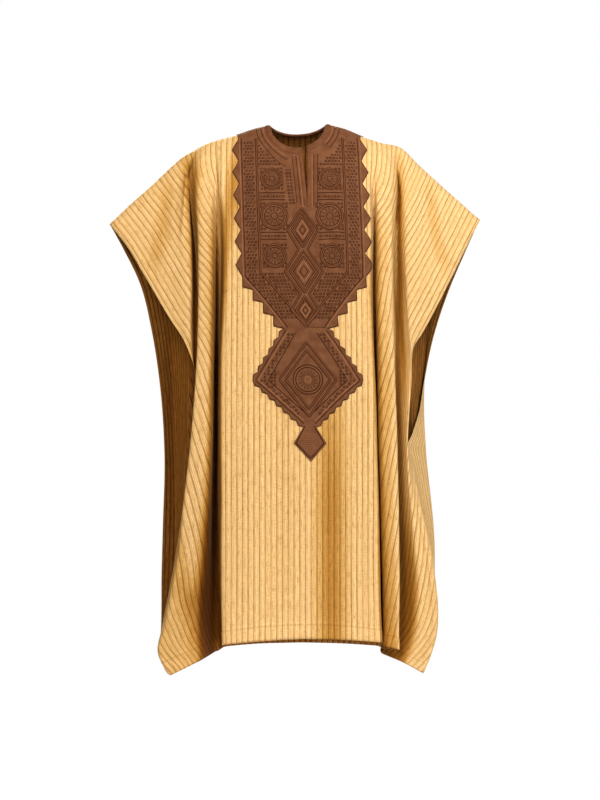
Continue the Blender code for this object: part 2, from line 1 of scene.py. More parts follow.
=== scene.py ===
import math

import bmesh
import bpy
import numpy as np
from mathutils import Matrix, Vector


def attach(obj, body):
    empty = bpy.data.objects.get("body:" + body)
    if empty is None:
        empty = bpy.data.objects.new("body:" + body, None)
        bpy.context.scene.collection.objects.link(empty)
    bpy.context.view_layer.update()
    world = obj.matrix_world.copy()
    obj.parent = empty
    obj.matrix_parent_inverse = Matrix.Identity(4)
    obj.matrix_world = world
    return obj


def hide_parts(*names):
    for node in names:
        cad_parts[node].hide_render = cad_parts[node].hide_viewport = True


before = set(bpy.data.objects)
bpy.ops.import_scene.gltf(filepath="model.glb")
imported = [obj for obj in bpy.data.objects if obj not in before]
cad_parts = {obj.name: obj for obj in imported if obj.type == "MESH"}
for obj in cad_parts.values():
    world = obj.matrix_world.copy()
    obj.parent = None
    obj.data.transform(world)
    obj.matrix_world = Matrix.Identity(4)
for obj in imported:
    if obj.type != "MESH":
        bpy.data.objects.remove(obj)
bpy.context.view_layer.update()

# %% [markdown]
# # A grand boubou robe
# The robe is two wide striped cloths that meet along the shoulders and hang in deep
# pipe folds. On the breast lies a brown toothed yoke with raised embroidery, and a
# pendant of the same work hangs below it. Each piece here replaces a plain solid of
# the frame that was just loaded, so the looks and the solids share one place.

MM = 0.001


def rounded(values):
    return [round(float(v), 3) for v in values]


# %% [markdown]
# ## The camera
# A robe is judged by its proportions, so the camera is a long lens far away. A short
# lens close by would swell the chest and shrink the hem. The lens's length is worked
# out from the height that the view has to hold at the robe's front, so that the size
# of the robe in the view is sure.

# %% Camera
VIEW_DISTANCE = 6.5        # metres from the lens to the front of the robe
ROBE_FRONT = -0.1          # where that front is, along Y
VIEW_HEIGHT = 1.8605       # metres of height that the view holds there
EYE_LEVEL = -0.6372        # height of the lens
SENSOR = 36.0              # millimetres

camera_data = bpy.data.cameras.new("studio_camera")
camera_data.sensor_width = SENSOR
camera_data.lens = SENSOR * VIEW_DISTANCE / VIEW_HEIGHT
camera = bpy.data.objects.new("studio_camera", camera_data)
camera.location = (0.0, ROBE_FRONT - VIEW_DISTANCE, EYE_LEVEL)
camera.rotation_euler = (math.radians(90), 0.0, 0.0)
bpy.context.scene.collection.objects.link(camera)
bpy.context.scene.camera = camera
print("lens", round(camera_data.lens, 1), "mm")

# %% [markdown]
# ## Light and floor
# One lamp beside the lens would wash the folds out, and one from the side would turn
# them black. So there are two large soft lamps, one on each side of the lens: a crest
# catches both and a recess catches neither. The right one is stronger. A weak one
# beside the robe keeps the cloth's right edge from going grey, and one behind the robe
# lights its back. The pale backdrop is a light of its own: it is seen as white, but it
# adds only a little warm light to the folds, as if it came off the gold cloth. The
# floor is a round sheet of white paper.

# %% Lamps
LAMPS = {  # place, size, power and colour of each lamp
    "right": ((1.7, -3.8, 2.3), 1.3, 254.0, (1.0, 0.99, 0.97)),
    "left": ((-1.5, -4.0, 1.9), 1.3, 156.0, (1.0, 0.88, 0.70)),
    "side": ((3.9, -0.9, 0.3), 1.3, 62.0, (1.0, 0.96, 0.88)),
    "back": ((-0.6, 3.4, 1.4), 1.8, 250.0, (1.0, 0.94, 0.84)),
}
LAMP_AIM = Vector((0.0, 0.0, -0.6))


def lamp(name, place, size, power, colour):
    data = bpy.data.lights.new(name, "AREA")
    data.shape = "DISK"
    data.size = size
    data.energy = power
    data.color = colour
    made = bpy.data.objects.new(name, data)
    made.location = place
    aim = LAMP_AIM - Vector(place)
    made.rotation_euler = aim.to_track_quat("-Z", "Y").to_euler()
    bpy.context.scene.collection.objects.link(made)


for lamp_name, made_as in LAMPS.items():
    lamp(lamp_name, *made_as)
print("lamps:", list(LAMPS))

# %% Backdrop
SKY_SEEN = (1.0, 1.0, 1.0, 1.0)
SKY_LIGHT = (0.155, 0.118, 0.070, 1.0)

world = bpy.data.worlds.new("pale_sky")
world.use_nodes = True
sky_nodes = world.node_tree
seen = sky_nodes.nodes.new("ShaderNodeLightPath").outputs["Is Camera Ray"]
tone = sky_nodes.nodes.new("ShaderNodeMix")
tone.data_type = "RGBA"
tone.inputs[6].default_value = SKY_LIGHT
tone.inputs[7].default_value = SKY_SEEN
sky_nodes.links.new(seen, tone.inputs[0])
sky_nodes.links.new(tone.outputs[2], sky_nodes.nodes["Background"].inputs["Color"])
bpy.context.scene.world = world
bpy.context.scene.view_settings.view_transform = "Standard"
print("the backdrop lights the folds with", rounded(SKY_LIGHT[:3]))

# %% Floor
FLOOR_HEIGHT = -1.62
FLOOR_RADIUS = 0.9
FLOOR_PAPER = {
    "Base Color": (0.96, 0.95, 0.93, 1.0), "Roughness": 0.9, "Specular IOR Level": 0.1,
    "Emission Color": (1.0, 1.0, 1.0, 1.0), "Emission Strength": 0.25,
}

floor_shape = bmesh.new()
bmesh.ops.create_circle(floor_shape, cap_ends=True, radius=FLOOR_RADIUS, segments=96)
bmesh.ops.translate(floor_shape, verts=floor_shape.verts, vec=(0.0, 0.0, FLOOR_HEIGHT))
floor_mesh = bpy.data.meshes.new("floor")
floor_shape.to_mesh(floor_mesh)
floor_shape.free()
floor = bpy.data.objects.new("floor", floor_mesh)
bpy.context.scene.collection.objects.link(floor)
floor_paper = bpy.data.materials.new("white_floor")
floor_paper.use_nodes = True
paper = floor_paper.node_tree.nodes["Principled BSDF"]
for socket, value in FLOOR_PAPER.items():
    paper.inputs[socket].default_value = value
floor_mesh.materials.append(floor_paper)
print("floor", 2 * FLOOR_RADIUS, "m across, at", FLOOR_HEIGHT)

# %% [markdown]
# ## How the cloth hangs
# A fold is a line that runs down the cloth: a crest that stands out or a recess that
# falls back. Each table below is one fold. A row says how far down the flat cloth
# a point lies, and then where that point hangs: across, depth and height, all in
# millimetres. A smooth curve through the rows gives the whole line, and the cloth
# is stretched from line to line with every corner rounded.

# %% The front's centre line
LENGTH = 1250.0
HALF_WIDTH = 520.0         # half the flat width of each cloth
CENTRE_FRONT = (
    (0, 5, 0, 12), (40, 5, -36, -14), (90, 5, -74, -49), (160, 5, -110, -110),
    (240, 5, -130, -188), (350, 5, -138, -297), (600, 5, -141, -547),
    (900, 5, -144, -845), (1250, 5, -148, -1189),
)
print("the front's centre hangs to", CENTRE_FRONT[-1][3], "mm")

# %% The left folds of the front
FRONT_LEFT = {
    "chest": (
        (0, -102, 0, 3), (40, -101, -35, -22), (90, -100, -72, -56),
        (160, -100, -107, -117), (240, -100, -127, -195), (350, -97, -136, -302),
        (600, -97, -140, -552), (900, -97, -143, -850), (1250, -95, -148, -1194),
    ),
    "panel_edge": (
        (0, -187, 0, -22), (50, -188, -40, -43), (100, -188, -74, -84),
        (160, -187, -102, -140), (250, -181, -122, -227), (400, -179, -131, -376),
        (600, -185, -135, -572), (850, -185, -138, -820), (1100, -183, -142, -1067),
        (1250, -179, -146, -1203),
    ),
    "recess": (
        (0, -198, 0, -26), (50, -198, -38, -48), (100, -196, -68, -88),
        (160, -195, -84, -143), (250, -192, -84, -232), (400, -192, -72, -380),
        (600, -195, -64, -579), (850, -196, -62, -831), (1100, -190, -58, -1087),
        (1250, -183, -48, -1217),
    ),
    "column_in": (
        (0, -210, 0, -30), (50, -209, -40, -53), (100, -208, -70, -93),
        (160, -205, -94, -151), (250, -202, -109, -240), (400, -201, -118, -389),
        (600, -203, -122, -589), (850, -211, -121, -839), (1100, -228, -108, -1090),
        (1250, -238, -92, -1247),
    ),
    "column_out": (
        (0, -241, 0, -42), (50, -242, -42, -69), (100, -242, -70, -109),
        (160, -241, -92, -167), (250, -239, -106, -258), (400, -237, -113, -407),
        (600, -245, -117, -607), (700, -252, -117, -707), (850, -269, -112, -858),
        (1000, -288, -103, -1014), (1120, -314, -90, -1154), (1190, -329, -82, -1225),
        (1250, -301, -82, -1279),
    ),
    "arm_recess": (
        (0, -267, 0, -59), (50, -267, -30, -101), (100, -262, -46, -140),
        (180, -252, -52, -220), (270, -243, -50, -314), (400, -236, -48, -455),
        (500, -235, -54, -562), (600, -241, -62, -660), (700, -254, -60, -754),
        (850, -273, -58, -909), (1000, -295, -56, -1049), (1120, -321, -56, -1169),
        (1190, -331, -66, -1229), (1250, -307, -74, -1276),
    ),
    "sleeve": (
        (0, -281, 0, -68), (50, -266, -38, -116), (100, -258, -64, -177),
        (195, -256, -92, -302), (265, -256, -99, -395), (330, -257, -100, -474),
        (400, -250, -92, -537), (500, -244, -60, -622), (600, -253, -28, -712),
        (700, -264, -8, -800), (850, -279, 5, -944), (1000, -300, -8, -1076),
        (1120, -325, -24, -1178), (1190, -332, -50, -1228), (1250, -312, -65, -1272),
    ),
    "side": (
        (0, -449, 0, -223), (75, -407, -38, -276), (170, -360, -65, -353),
        (285, -301, -86, -451), (345, -270, -93, -498), (412, -247, -95, -563),
        (500, -248, -60, -642), (600, -257, -15, -731), (700, -267, 10, -822),
        (800, -280, 26, -915), (900, -294, 28, -1007), (1000, -310, 12, -1096),
        (1100, -326, 0, -1180), (1190, -331, -36, -1227), (1250, -316, -58, -1267),
    ),
}
print("front left:", list(FRONT_LEFT))

# %% The right folds of the front
FRONT_RIGHT = {
    "chest": (
        (0, 102, 0, 2), (40, 101, -35, -22), (90, 100, -72, -56),
        (160, 100, -107, -117), (240, 100, -127, -195), (350, 102, -136, -302),
        (600, 104, -140, -552), (900, 104, -143, -850), (1250, 106, -148, -1191),
    ),
    "panel_edge": (
        (0, 161, 0, -20), (50, 160, -40, -43), (100, 160, -74, -84),
        (160, 160, -102, -140), (250, 165, -122, -227), (400, 163, -131, -378),
        (600, 171, -135, -572), (850, 180, -138, -822), (1100, 184, -142, -1069),
        (1250, 187, -146, -1197),
    ),
    "recess": (
        (0, 175, 0, -25), (50, 173, -38, -48), (100, 171, -68, -88),
        (160, 171, -82, -143), (250, 173, -78, -231), (400, 173, -76, -383),
        (600, 177, -76, -579), (850, 184, -78, -831), (1100, 190, -82, -1078),
        (1250, 193, -88, -1206),
    ),
    "column_in": (
        (0, 189, 0, -30), (50, 187, -40, -53), (100, 182, -70, -93),
        (160, 179, -92, -151), (250, 178, -107, -240), (400, 179, -117, -391),
        (600, 180, -121, -586), (850, 186, -124, -836), (1100, 192, -127, -1082),
        (1250, 192, -128, -1207),
    ),
    "column_out": (
        (0, 215, 0, -37), (50, 215, -41, -65), (100, 213, -70, -109),
        (160, 212, -91, -164), (250, 213, -106, -256), (400, 214, -114, -407),
        (600, 222, -119, -605), (850, 230, -123, -855), (1100, 233, -127, -1098),
        (1250, 234, -128, -1216),
    ),
    "arm_recess": (
        (0, 233, 0, -43), (50, 234, -34, -92), (100, 233, -52, -136),
        (180, 230, -62, -211), (270, 228, -64, -298), (400, 225, -66, -431),
        (600, 224, -66, -633), (850, 224, -64, -883), (1100, 213, -66, -1119),
        (1250, 188, -72, -1223),
    ),
    "sleeve": (
        (0, 257, 0, -57), (50, 252, -42, -116), (100, 249, -68, -184),
        (185, 248, -92, -293), (270, 251, -103, -405), (345, 257, -107, -507),
        (420, 260, -106, -586), (500, 255, -108, -656), (600, 251, -108, -737),
        (700, 255, -109, -828), (850, 267, -111, -958), (1000, 274, -113, -1083),
        (1120, 267, -113, -1176), (1250, 239, -108, -1246),
    ),
    "side": (
        (0, 424, 0, -213), (80, 387, -40, -285), (170, 353, -66, -353),
        (320, 282, -90, -485), (360, 265, -92, -511), (440, 255, -62, -590),
        (530, 248, -50, -672), (610, 251, -55, -747), (660, 261, -66, -787),
        (740, 274, -82, -852), (830, 290, -92, -928), (910, 305, -98, -991),
        (980, 314, -100, -1056), (1050, 320, -100, -1121), (1130, 316, -98, -1189),
        (1190, 302, -97, -1235), (1250, 286, -95, -1273),
    ),
}
print("front right:", list(FRONT_RIGHT))

# %% The back's centre line and left folds
CENTRE_BACK = (
    (0, 5, 0, 12), (50, 5, 45, -10), (100, 5, 84, -41), (160, 5, 110, -95),
    (250, 5, 123, -184), (400, 5, 130, -334), (700, 5, 134, -642),
    (1000, 5, 138, -950), (1250, 5, 142, -1222),
)
BACK_LEFT = {
    "chest": (
        (0, -102, 0, 3), (50, -101, 45, -16), (100, -100, 85, -46),
        (160, -100, 112, -99), (250, -100, 125, -187), (400, -100, 131, -336),
        (700, -100, 133, -644), (1000, -100, 136, -952), (1250, -100, 140, -1224),
    ),
    "panel_edge": (
        (0, -178, 0, -20), (50, -178, 43, -40), (100, -177, 80, -72),
        (160, -176, 104, -126), (250, -175, 118, -213), (400, -174, 127, -362),
        (700, -176, 132, -666), (1000, -180, 138, -970), (1250, -182, 146, -1232),
    ),
    "recess": (
        (0, -198, 0, -26), (50, -198, 42, -48), (100, -197, 74, -82),
        (160, -196, 88, -136), (250, -194, 84, -224), (400, -192, 78, -372),
        (700, -194, 74, -676), (1000, -198, 76, -976), (1250, -200, 84, -1238),
    ),
    "column_in": (
        (0, -216, 0, -31), (50, -216, 42, -54), (100, -215, 76, -90),
        (160, -214, 98, -146), (250, -214, 112, -234), (400, -215, 122, -382),
        (700, -224, 128, -684), (1000, -234, 128, -984), (1250, -244, 128, -1248),
    ),
    "arm_recess": (
        (0, -258, 0, -53), (50, -257, 40, -80), (100, -255, 66, -118),
        (160, -254, 82, -172), (250, -255, 88, -262), (400, -259, 88, -412),
        (700, -268, 82, -704), (1000, -280, 84, -1000), (1250, -288, 92, -1258),
    ),
    "sleeve": (
        (0, -340, 0, -122), (75, -335, 42, -190), (170, -326, 74, -290),
        (285, -316, 95, -409), (400, -308, 106, -526), (600, -300, 112, -728),
        (800, -298, 106, -924), (950, -299, 92, -1069), (1100, -303, 72, -1199),
        (1250, -306, 34, -1273),
    ),
    "side": (
        (0, -449, 0, -223), (75, -418, 38, -281), (170, -380, 62, -363),
        (285, -354, 80, -472), (400, -337, 88, -582), (600, -324, 92, -766),
        (800, -327, 78, -938), (950, -329, 54, -1066), (1050, -328, 30, -1140),
        (1105, -328, 10, -1182),
    ),
}
print("back left:", list(BACK_LEFT))

# %% The right folds of the back
BACK_RIGHT = {
    "chest": (
        (0, 102, 0, 2), (50, 101, 45, -16), (100, 100, 85, -46),
        (160, 100, 112, -99), (250, 100, 125, -187), (400, 102, 131, -336),
        (700, 104, 133, -644), (1000, 106, 136, -952), (1250, 106, 140, -1224),
    ),
    "panel_edge": (
        (0, 168, 0, -22), (50, 168, 43, -42), (100, 168, 80, -74),
        (160, 168, 104, -128), (250, 170, 118, -215), (400, 172, 127, -364),
        (700, 176, 131, -668), (1000, 182, 136, -972), (1250, 188, 142, -1230),
    ),
    "recess": (
        (0, 186, 0, -28), (50, 186, 42, -50), (100, 186, 74, -84),
        (160, 186, 86, -138), (250, 186, 80, -226), (400, 188, 74, -374),
        (700, 194, 72, -676), (1000, 200, 76, -976), (1250, 206, 86, -1236),
    ),
    "column_in": (
        (0, 204, 0, -34), (50, 204, 42, -57), (100, 203, 76, -93),
        (160, 203, 98, -149), (250, 205, 112, -237), (400, 208, 121, -385),
        (700, 220, 127, -686), (1000, 232, 130, -986), (1250, 242, 130, -1246),
    ),
    "arm_recess": (
        (0, 246, 0, -48), (50, 245, 40, -80), (100, 243, 66, -120),
        (160, 242, 82, -176), (250, 243, 88, -266), (400, 248, 86, -416),
        (700, 258, 80, -706), (1000, 266, 78, -1000), (1250, 268, 78, -1256),
    ),
    "sleeve": (
        (0, 350, 0, -146), (75, 338, 42, -222), (170, 322, 72, -322),
        (285, 308, 92, -437), (400, 301, 100, -552), (500, 298, 92, -654),
        (610, 302, 54, -761), (740, 310, 16, -874), (830, 315, -12, -944),
        (910, 317, -34, -1001), (1000, 316, -52, -1078), (1100, 311, -60, -1164),
        (1180, 297, -62, -1227), (1250, 281, -62, -1269),
    ),
    "side": (
        (0, 424, 0, -213), (75, 392, 36, -286), (170, 353, 62, -380),
        (285, 318, 80, -489), (400, 296, 76, -594), (480, 284, 46, -660),
        (560, 264, -6, -718),
    ),
}
print("back right:", list(BACK_RIGHT))

# %% The shoulder line
SHOULDER = (  # across and height, from the left sleeve corner to the right one
    (-449, -223), (-406, -181), (-340, -122), (-307, -90), (-274, -62), (-254, -51),
    (-227, -35), (-187, -22), (-154, -14), (-102, 3), (-71, 9), (5, 12), (61, 11),
    (102, 2), (151, -18), (189, -30), (243, -46), (276, -79), (326, -125),
    (392, -184), (424, -213),
)
print("shoulders reach from", SHOULDER[0][0], "to", SHOULDER[-1][0], "mm")

# %% [markdown]
# ## From lines to a sheet
# The cloth could be draped by a simulation, but listed folds give the same
# sheet on each run, and each fold where it is wanted. A crest gives one corner
# across the cloth and a recess gives two, with a narrow floor between them. Each
# corner is rounded by a short curve, because stiff cloth turns and never creases.

# %% Curves through the tables
def smooth_between(place, values, slope, wanted):
    """A smooth curve through the values at each place, read at the wanted places."""
    k = np.clip(np.searchsorted(place, wanted) - 1, 0, len(place) - 2)
    width = (place[k + 1] - place[k])[:, None]
    t = (wanted - place[k])[:, None] / width
    return (
        (2 * t**3 - 3 * t**2 + 1) * values[k]
        + (t**3 - 2 * t**2 + t) * width * slope[k]
        + (3 * t**2 - 2 * t**3) * values[k + 1]
        + (t**3 - t**2) * width * slope[k + 1]
    )


def along(table, down, start=None):
    """Points of a fold at each distance down the cloth, from its table."""
    knots = np.array(table, float)
    place, points = knots[:, 0], knots[:, 1:]
    slope = np.gradient(points, place, axis=0)
    if start is not None:
        slope[0] = start
    return smooth_between(place, points, slope, down)


def shoulder_height(across):
    x, z = np.array(SHOULDER, float).T
    slope = np.gradient(z, x)
    return smooth_between(x, z[:, None], slope[:, None], across)[:, 0]


print("shoulder line over the centre:", rounded(shoulder_height(np.zeros(1))), "mm")

# %% Rounded corners
TURNS = {  # half floor, turn reach, points in the turn, points on the flat before it
    "chest": (0, 40, 6, 13),
    "panel_edge": (0, 14, 7, 9),
    "recess": (6, 7, 4, 6),
    "column_in": (0, 13, 6, 3),
    "column_out": (0, 11, 6, 3),
    "arm_recess": (7, 9, 4, 4),
    "sleeve": (0, 16, 8, 4),
    "side": (0, 0, 1, 24),
}


def corners_of(fold_points):
    """The corners of one row: a crest gives one, a recess the two ends of its floor."""
    names = list(fold_points)
    corners = []
    for i, name in enumerate(names):
        point = fold_points[name]
        floor, turn, arc, before = TURNS.get(name, (0, 0, 1, 0))
        if floor:
            back = fold_points[names[i - 1]] - point
            ahead = fold_points[names[i + 1]] - point
            way = fold_points[names[i + 1]] - fold_points[names[i - 1]]
            room = 0.25 * min(np.linalg.norm(back), np.linalg.norm(ahead))
            step = way / np.linalg.norm(way) * min(floor, room)
            corners.append((point - step, turn, arc, before))
            corners.append((point + step, turn, arc, 0))
        else:
            corners.append((point, turn, arc, before))
    return corners


def rounded_row(fold_points):
    """Points across half a cloth, centre to side, with each corner rounded."""
    corners = corners_of(fold_points)
    made = [corners[0][0]]
    for i in range(1, len(corners)):
        point, turn, arc, before = corners[i]
        turned = [point]
        if i < len(corners) - 1:
            back = corners[i - 1][0] - point
            ahead = corners[i + 1][0] - point
            reach = min(turn, 0.45 * np.linalg.norm(back), 0.45 * np.linalg.norm(ahead))
            start = point + back / np.linalg.norm(back) * reach
            end = point + ahead / np.linalg.norm(ahead) * reach
            turned = [
                (1 - t) ** 2 * start + 2 * t * (1 - t) * point + t**2 * end
                for t in np.linspace(0.0, 1.0, arc)
            ]
        last = made[-1]
        for j in range(before):
            made.append(last + (turned[0] - last) * (j + 1) / (before + 1))
        made.extend(turned)
    return np.array(made)


print("points in the turn of each fold:", {name: turn[2] for name, turn in TURNS.items()})

# %% Half a cloth
SHOULDER_FADE = 120.0      # how far down the shoulder line shapes the cloth


def unit(vectors):
    return vectors / np.linalg.norm(vectors, axis=-1, keepdims=True)


def half_sheet(centre, folds, forwards, down, sewn_to=None):
    """Half a cloth: rows down it, columns from its centre to its side."""
    start = np.array((0.0, -1.0 if forwards else 1.0, 0.0))
    lines = {"centre": along(centre, down, start)}
    for name, table in folds.items():
        lines[name] = along(table, down, start)
    if sewn_to:
        other, join = sewn_to
        sewn = down >= join
        own = tuple(folds["side"]) + tuple(row for row in other if row[0] >= join)
        lines["side"] = along(own, down, start)
        lines["side"][sewn] = along(other, down)[sewn]
    grid = np.array(
        [rounded_row({k: line[r] for k, line in lines.items()}) for r in range(len(down))]
    )
    lift = shoulder_height(grid[0, :, 0]) - grid[0, :, 2]
    fade = np.clip(1.0 - down / SHOULDER_FADE, 0.0, 1.0) ** 2
    grid[:, :, 2] += fade[:, None] * lift[None, :]
    return grid


print(len(FRONT_LEFT), "folds in each half of the front")

# %% [markdown]
# ## Flat places on the cloth
# Stripes, hems, creases and stitches all belong to the flat cloth, before it hung.
# So each point of a sheet also keeps its flat place: how far across from the centre
# and how far down from the shoulder. Both become the sheet's UV map later, which is
# why the stripes bend round the folds as woven ones do.

# %% The two hanging sheets
ROWS = 172                 # points down the cloth
JOIN_LEFT = 1120.0         # below this the front and back are sewn at the side
JOIN_RIGHT = 610.0
EVEN_FROM = 0.3            # share of the width past which the flat place is evened out
EACH_MM = np.arange(-HALF_WIDTH, HALF_WIDTH + 1.0)


class Sheet:
    """A hanging cloth: points, outward normals and flat places on one grid."""

    def __init__(self, name, forwards, centre, halves, joins):
        self.name, self.forwards, self.halves = name, forwards, halves
        self.down = np.linspace(0.0, LENGTH, ROWS)
        hung = [
            half_sheet(centre, folds, forwards, self.down, joins.get(side))
            for side, folds in halves.items()
        ]
        flats = [self.flat_across(half) for half in hung]
        self.points = np.concatenate([hung[0][:, :0:-1], hung[1]], axis=1)
        self.across = np.concatenate([-flats[0][:, :0:-1], flats[1]], axis=1)
        self.find_normals()

    @staticmethod
    def flat_across(half):
        steps = np.linalg.norm(np.diff(half, axis=1), axis=2)
        run = np.concatenate([np.zeros((len(half), 1)), np.cumsum(steps, axis=1)], axis=1)
        total = run[:, -1:]
        share = np.clip((run / total - EVEN_FROM) / (1 - EVEN_FROM), 0.0, 1.0)
        return run + (HALF_WIDTH - total) * share * share * (3 - 2 * share)

    def find_normals(self):
        across = np.gradient(self.points, axis=1)
        down = np.gradient(self.points, axis=0)
        normals = np.cross(down, across) if self.forwards else np.cross(across, down)
        normals[0, :, 1] = 0.0
        self.normals = unit(normals)
        # The same points again, one for each millimetre of flat width.
        self.evened = [
            np.array([
                [np.interp(EACH_MM, flat, line[:, k]) for k in range(3)]
                for flat, line in zip(self.across, grid)
            ]).transpose(0, 2, 1)
            for grid in (self.points, self.normals)
        ]

    def place(self, across, down, lift=0.0):
        """Hanging places and normals of flat places, moved out from the cloth."""
        across, down = np.broadcast_arrays(np.atleast_1d(across), np.atleast_1d(down))
        row = np.clip(down / LENGTH * (ROWS - 1), 0, ROWS - 1 - 1e-6)
        column = np.clip(across + HALF_WIDTH, 0, 2 * HALF_WIDTH - 1e-6)
        r, c = row.astype(int), column.astype(int)
        y, x = (row - r)[:, None], (column - c)[:, None]
        found = [
            (g[r, c] * (1 - x) + g[r, c + 1] * x) * (1 - y)
            + (g[r + 1, c] * (1 - x) + g[r + 1, c + 1] * x) * y
            for g in self.evened
        ]
        normals = unit(found[1])
        return found[0] + normals * np.reshape(lift, (-1, 1)), normals


front = Sheet("front", True, CENTRE_FRONT, {"left": FRONT_LEFT, "right": FRONT_RIGHT}, {})
back = Sheet(
    "back", False, CENTRE_BACK, {"left": BACK_LEFT, "right": BACK_RIGHT},
    {"left": (FRONT_LEFT["side"], JOIN_LEFT), "right": (FRONT_RIGHT["side"], JOIN_RIGHT)},
)
for sheet in (front, back):
    edge = sheet.across[:, -1]
    print(sheet.name, sheet.points.shape[:2], "points, half width", edge.min(), edge.max())

# %% [markdown]
# ## Listed creases
# Between the big folds stiff cloth keeps soft dents and swells. Each one here is a
# line on the flat cloth with a width and a height. A bell curve across the line
# and a fade at its two ends give a swell with no hard rim. Hems and seam turnings
# are raised the same way, as very shallow steps.

# %% Creases of the front and the back
FRONT_CREASES = (  # across and down of each end, half width, height
    (-300, 30, -480, 300, 26, 2.6), (-330, 10, -500, 170, 22, -1.8),
    (-290, 120, -430, 420, 24, 2.2), (-285, 200, -380, 470, 18, -1.6),
    (300, 20, 480, 280, 28, 2.4), (330, 10, 500, 160, 22, -1.6),
    (290, 110, 420, 400, 24, 2.0), (280, 210, 370, 460, 16, -1.5),
    (-296, 36, -392, 147, 6, 5.5), (-274, 40, -366, 160, 10, -5.0),
    (253, 68, 271, 112, 5, -5.5), (264, 66, 284, 112, 6, 2.5), (262, 90, 300, 210, 11, -4.0),
    (-128, 420, -124, 1700, 34, 2.2), (-45, 620, -40, 1240, 26, -0.7),
    (66, 600, 71, 1900, 34, -3.7), (162, 420, 166, 1500, 26, 2.0),
    (-165, 90, -120, 330, 26, -1.6), (150, 80, 128, 300, 22, -1.2),
    (-262, 520, -250, 820, 14, -1.8), (-330, 820, -290, 1180, 20, 2.4),
    (-400, 760, -370, 1120, 18, -1.8), (275, 640, 300, 1010, 20, 2.2),
    (350, 700, 372, 1120, 22, -2.4), (430, 760, 452, 1080, 20, 2.0),
)
BACK_CREASES = (
    (-300, 30, -470, 300, 26, 2.4), (-285, 180, -400, 520, 22, -2.0),
    (300, 30, 470, 290, 26, 2.4), (285, 170, 400, 500, 22, -2.0),
    (-110, 260, -128, 1150, 34, 2.0), (-30, 420, -48, 1240, 30, -1.7),
    (58, 300, 50, 1150, 34, 1.8), (132, 420, 120, 1240, 26, -1.6),
    (-340, 600, -360, 1150, 22, -2.2), (-420, 640, -440, 1040, 20, 2.0),
    (350, 560, 372, 1150, 22, -2.4), (440, 640, 452, 1160, 20, 2.2),
)
print("creases:", len(FRONT_CREASES), "in the front,", len(BACK_CREASES), "in the back")

# %% Pressing the creases and hems in
HEM_TURNING = 37.0         # cloth turned up at the hem
SIDE_TURNING = 14.0        # and at the open sides
TURNING_RISE = 0.7         # how much the turned cloth stands out
TURNING_STEP = 1.5         # over how many millimetres it rises
SHOULDER_FLAT = 30.0       # creases fade out this near to the shoulder
SIDE_FLAT = 20.0           # and this near to the sides
UNEVEN = (  # waves across, waves down, phase and height of three slow swells
    (0.019, 0.0083, 0.4, 0.35), (-0.011, 0.021, 2.1, 0.3), (0.043, 0.031, 4.2, 0.16),
)


def crease_height(across, down, creases):
    height = np.zeros_like(across)
    for a0, d0, a1, d1, half_width, rise in creases:
        way = np.array((a1 - a0, d1 - d0), float)
        run = np.linalg.norm(way)
        along_line = ((across - a0) * way[0] + (down - d0) * way[1]) / run
        beside = ((across - a0) * way[1] - (down - d0) * way[0]) / run
        past = np.clip(np.abs(along_line - run / 2) - run / 4, 0.0, None) / (run / 4)
        height += rise * np.exp(-((beside / half_width) ** 2) - past**2)
    return height


def turning_height(across, down):
    hem = np.clip((down - LENGTH + HEM_TURNING) / TURNING_STEP, 0.0, 1.0)
    side = np.clip((np.abs(across) - HALF_WIDTH + SIDE_TURNING) / TURNING_STEP, 0.0, 1.0)
    return TURNING_RISE * np.maximum(hem, side)


def press_in(sheet, creases):
    down = np.broadcast_to(sheet.down[:, None], sheet.across.shape)
    height = crease_height(sheet.across, down, creases)
    for a, d, phase, rise in UNEVEN:
        height = height + rise * np.sin(a * sheet.across + d * down + phase)
    height *= np.clip(down / SHOULDER_FLAT, 0.0, 1.0)
    height *= np.clip((HALF_WIDTH - np.abs(sheet.across)) / SIDE_FLAT, 0.0, 1.0)
    height = height + turning_height(sheet.across, down)
    sheet.points = sheet.points + sheet.normals * height[..., None]
    sheet.find_normals()
    print("creases from", round(height.min(), 1), "to", round(height.max(), 1), "mm")


press_in(front, FRONT_CREASES)
press_in(back, BACK_CREASES)

# %% [markdown]
# ## How open each place is
# Deep in a fold little light arrives, and what does has bounced off gold cloth. For
# each place, this finds how high the cloth rises beside it on both sides. A place on
# a crest gets 1 and the floor of a narrow recess gets nearly 0. The finish uses it
# to paint shade into the colour of the recesses.

# %% Openness of the folds
LOOK_STEP = 5
LOOK_REACH = 140
SHADE_FROM = 20.0          # how far down the shade begins to deepen
SHADE_FULL = (400.0, 640.0)  # over how much it does so, in the left half and the right
SHADE_LEAST = 0.35         # share of the shade at the shoulder


def openness(sheet):
    points, normals = sheet.evened
    columns = np.arange(points.shape[1])
    seen = np.ones(points.shape[:2])
    for way in (-1, 1):
        rise = np.zeros(points.shape[:2])
        for reach in range(LOOK_STEP, LOOK_REACH, LOOK_STEP):
            beside = points[:, np.clip(columns + way * reach, 0, columns[-1])] - points
            up = (beside * normals).sum(-1)
            aside = np.sqrt(np.maximum((beside**2).sum(-1) - up**2, 1e-6))
            rise = np.maximum(rise, np.arctan2(up, aside))
        seen -= 0.5 * np.sin(rise)
    return seen


def column_of(folds, recess):
    """How many columns of half a sheet lie before the middle of this recess."""
    count = 0
    for name in folds:
        floor, _turn, arc, flat = TURNS[name]
        if name == recess:
            return count + flat + arc
        count += flat + arc * (2 if floor else 1)
    return count


